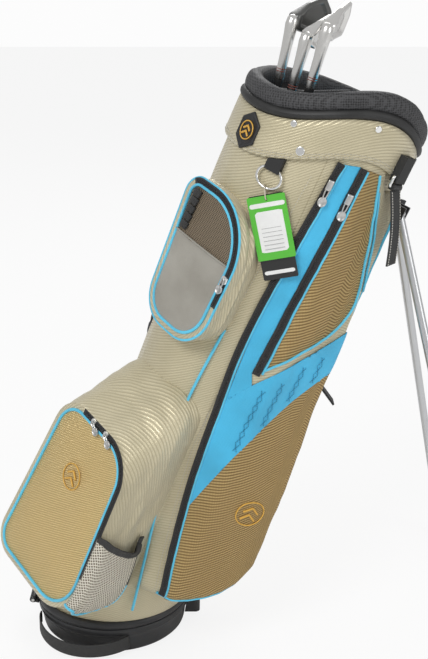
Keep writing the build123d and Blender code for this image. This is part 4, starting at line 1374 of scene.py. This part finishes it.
def hanging_strap():
    """White-edged webbing that hangs from the buckle."""
    foot_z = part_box("side_strap")[0].z
    pivot = next(j for j in frame["joints"] if j["name"] == "side_strap_swing")
    top = np.array(pivot["pos_m"])
    turn = radians(-42.0 + 90.0)
    across = np.array([cos(turn), sin(turn), 0])
    out = np.array([sin(turn), -cos(turn), 0])
    line, up = [], []
    for f in np.linspace(0, 1, 30):
        z = top[2] - 0.003 - (top[2] - foot_z - 0.004) * f
        bow = 0.0035 * sin(pi * f)
        line.append(np.array([top[0], top[1], z]) + out * bow)
        up.append(out)
    strap = sweep("strap_tail", line, flat_section(0.022, 0.0024), up=up, leaned=False)
    axis = unit(np.array(pivot["axis"], float))
    eye_line = [top + axis * s for s in np.linspace(-0.011, 0.011, 6)]
    eye = sweep("strap_eye", eye_line, circle(0.0046, 20), leaned=False)
    dress(join("side_webbing", [strap, eye]), WEBBING, "side_strap", body="strap_end")
    for k, side in enumerate((-1, 1)):
        edge = [BAG.inverted() @ Vector(p + across * side * 0.0086 + out * 0.0012) for p in line]
        normals = [BAG.inverted().to_3x3() @ Vector(out)] * len(edge)
        row = stitches(f"strap_stitch_{k}", np.array(edge), np.array(normals), pitch=0.0036, radius=0.0006)
        dress(row, WHITE_THREAD, body="strap_end", slot="black_webbing")


# ---------------------------------------------------------------- irons
IRONS = {"iron_a": ((-0.101, 0.008, 0.911), 11.0, 48.0, -5.0, 0.92),
         "iron_b": ((-0.078, -0.018, 0.900), 8.5, 57.0, 8.0, 0.85),
         "iron_c": ((-0.061, -0.042, 0.922), 8.0, 66.0, 8.0, 1.0)}
LIE_TURN = 28.0
HOSEL_L, FERRULE_L = 0.080, 0.016


def turned(angle, axis):
    return Matrix.Rotation(radians(angle), 4, axis)


def iron_place(name):
    heel, tilt = IRONS[name][:2]
    return BAG @ Matrix.Translation(heel) @ turned(-tilt, "Y")


def shaft_low(name):
    """Where the middle of the grip's round end lies on the iron's own axis."""
    (x, _, z), tilt = IRONS[name][:2]
    rise, run = tan(LEAN), tan(radians(tilt))
    floor = (0.0003 + 0.004 + 0.0125 + 0.0003) / cos(LEAN) + 0.0002
    end_z = (floor + rise * (x + z * run)) / (1 + rise * run)
    return -(z - end_z) / cos(radians(tilt))


def club_head(name):
    """Cavity-back iron head: blade lofted round its outline, with grooves, and a tapered hosel."""
    _, _, toe, loft, size = IRONS[name]
    tilt = turned(toe, "Z") @ turned(-LIE_TURN, "Y") @ turned(loft, "X")
    outline = rounded_outline([(-0.009, -0.010), (0.016, -0.030), (0.070, -0.052), (0.080, -0.024),
                               (0.072, 0.002), (0.038, 0.007), (0.002, 0.005)],
                              [0.004, 0.008, 0.007, 0.012, 0.009, 0.020, 0.006], 120) * size
    centre = outline.mean(0)
    layers = [(0.0, 0.0008), (0.55, 0.0008), (0.66, 0.0010), (0.72, 0.0038), (0.86, 0.0044), (0.965, 0.0038),
              (1.0, 0.0014), (1.0, -0.0020), (0.985, -0.0038), (0.955, -0.0043), (0.5, -0.0043),
              (0.0, -0.0043)]
    rings = np.zeros((len(outline), len(layers), 3))
    for i, q in enumerate(outline):
        for j, (k, depth) in enumerate(layers):
            p = centre + (q - centre) * k
            heel = 1 + 1.1 * exp(-((p[0] - 0.004) / 0.018) ** 2)
            rings[i, j] = (p[0], -depth * heel, p[1])
    blade = weld(grid(name + "_blade", rings, closed=True, leaned=False))
    blade.data.transform(tilt)
    radii = [(-HOSEL_L, 0.0061), (-0.076, 0.0064), (-0.040, 0.0068), (-0.020, 0.0078), (-0.008, 0.0088),
             (0.000, 0.0076), (0.0040, 0.0048), (0.0055, 0.0)]
    neck = weld(grid(name + "_hosel", [[(r * cos(a), r * sin(a), z) for z, r in radii]
                                       for a in around(32)], closed=True, leaned=False))
    grooves = []
    for k in range(9):
        level = -0.036 + 0.0040 * k
        line = [np.array([u, 0.0044, level]) * size for u in np.linspace(0.022, 0.062, 6)]
        groove = sweep(f"{name}_groove", line, circle(0.00035, 6), leaned=False)
        groove.data.transform(tilt)
        groove.data.materials.append(FERRULE)
        grooves.append(groove)
    # Iron a's blade takes the darkened steel as painted shade; its hosel keeps the bright steel
    blade.data.materials.append(SHADED_CLUB if name == "iron_a" else CLUB)
    neck.data.materials.append(CLUB)
    head = join(name + "_club", [blade, neck] + grooves)
    head.data.transform(iron_place(name))
    dress(head, CLUB, name + "_head", body=name)


def club_shaft(name):
    """Stepped shaft, ferrule and ribbed grip, along the iron's own axis."""
    low = shaft_low(name)
    grip_top = low + 0.285
    steps = [(grip_top - 0.004, 0.0060)]
    for k in range(9):
        z = grip_top + 0.036 * k + 0.02
        steps += [(z, 0.0062 - 0.00014 * k), (z + 0.0006, 0.0061 - 0.00014 * k)]

    def lathe(part, profile, material, count=24):
        ring = [[(r * cos(a), r * sin(a), z) for z, r in profile]
                for a in around(count)]
        obj = weld(grid(f"{name}_{part}", ring, closed=True, leaned=False))
        obj.data.materials.append(material)
        return obj

    neck = -HOSEL_L
    parts = [lathe("rod", [q for q in steps if q[0] < neck - 0.030] + [(neck - 0.003, 0.0048)], CHROME),
             lathe("ferrule", [(neck - FERRULE_L, 0.0047), (neck - FERRULE_L + 0.001, 0.0054),
                               (neck - 0.002, 0.0063), (neck - 0.0004, 0.0062)], FERRULE)]
    for at in (0.010, 0.013):
        parts.append(lathe("ring", [(neck + at, 0.0058), (neck + at, 0.00672), (neck + at + 0.0010, 0.00672),
                                    (neck + at + 0.0010, 0.0058)], RED_INK))
    profile = [(low - 0.0125, 0.0), (low - 0.0105, 0.0070), (low - 0.006, 0.0112), (low, 0.0124)]
    for k in range(60):
        f = k / 59
        z = low + 0.010 + (grip_top - low - 0.014) * f
        profile.append((z, 0.0124 - 0.0040 * f + (0.00035 if k % 3 == 0 else -0.0002)))
    profile += [(grip_top, 0.0080), (grip_top + 0.0005, 0.0058)]
    parts.append(lathe("grip", profile, RUBBER))
    obj = join(name + "_stick", parts)
    obj.data.transform(iron_place(name))
    dress(obj, CHROME, name + "_shaft", body=name, slot="shaft_steel")


# ---------------------------------------------------------------- stage
def stage_and_camera():
    scene = bpy.context.scene
    bpy.ops.mesh.primitive_plane_add(size=14, location=(0, 0, -0.0004))
    floor = bpy.context.object
    floor.name = "floor"
    m = Nodes("pale_floor", (0.90, 0.90, 0.90), 0.9)
    seen = m.math("MULTIPLY", m.add("LightPath").outputs["Is Camera Ray"], 0.86)
    glow = m.add("Emission", {"Color": (0.985, 0.985, 0.985)})
    mix = m.add("MixShader", {0: seen, 1: m.shader.outputs[0], 2: glow.outputs[0]})
    m.feed(m.tree.nodes["Material Output"], {"Surface": mix.outputs[0]})
    floor.data.materials.append(m.material)

    world = bpy.data.worlds.new("studio")
    world.use_nodes = True
    tree = world.node_tree
    ambient, white = tree.nodes["Background"], tree.nodes.new("ShaderNodeBackground")
    for node, shade_of_white, strength in ((ambient, 1.0, 0.55), (white, 0.975, 1.0)):
        node.inputs["Color"].default_value = (*[shade_of_white] * 3, 1)
        node.inputs["Strength"].default_value = strength
    seen = tree.nodes.new("ShaderNodeLightPath").outputs["Is Camera Ray"]
    blend = tree.nodes.new("ShaderNodeMixShader")
    for source, socket in zip((seen, ambient.outputs[0], white.outputs[0]), blend.inputs):
        tree.links.new(source, socket)
    tree.links.new(blend.outputs[0], tree.nodes["World Output"].inputs["Surface"])
    scene.world = world

    def area(name, place, target, size, power):
        lamp = bpy.data.lights.new(name, "AREA")
        lamp.shape = "RECTANGLE"
        lamp.size, lamp.size_y = size
        lamp.energy = power
        obj = placed(name, lamp)
        obj.location = place
        obj.rotation_euler = (Vector(target) - Vector(place)).to_track_quat("-Z", "Y").to_euler()

    area("key", (-1.1, -1.9, 2.6), (0.15, 0, 0.45), (1.3, 0.9), 42)
    area("fill", (2.4, -1.6, 1.4), (0.15, 0, 0.45), (1.2, 1.2), 12)
    area("rim", (0.6, 2.2, 2.2), (0.15, 0, 0.5), (1.4, 0.8), 22)

    camera = bpy.data.cameras.new("camera")
    camera.sensor_width = 36.0
    camera.lens = 61.6
    obj = placed("camera", camera)
    obj.location = (0.159, -1.52, 1.08)
    obj.rotation_euler = (radians(90 - 21.3), 0, 0)
    scene.camera = obj
    scene.view_settings.view_transform = "Standard"


# ---------------------------------------------------------------- everything
coat(PLASTIC, "rod_anchor", "leg_bracket", "rod_guides")
coat(STEEL, "hinge_pin", "leg_pins", "push_rod")
coat(ALUMINIUM, "leg_near", "leg_far")
coat(RUBBER, "foot_near", "foot_far")
coat(CHROME, "band_rivets", "d_ring", "strap_buckle", "ball_pull_a", "ball_pull_b", "oval_pull", "long_pull",
     "second_pull", "front_sliders")
coat(WEBBING, "leg_tie", "ring_tab", "strap_fold")
coat(GREEN, "tag_green")
coat(BLACK_CARD, "tag_black")
coat(CREAM, "tag_loop")

tube()
base()
collar()
dividers()
badge()
ball_pocket()
oval_pocket()
garment()
far_pocket()
side_strip()
hip_pad()
shoulder_strap()
hardware()
tags()
hanging_strap()
for club in IRONS:
    club_head(club)
    club_shaft(club)
stage_and_camera()
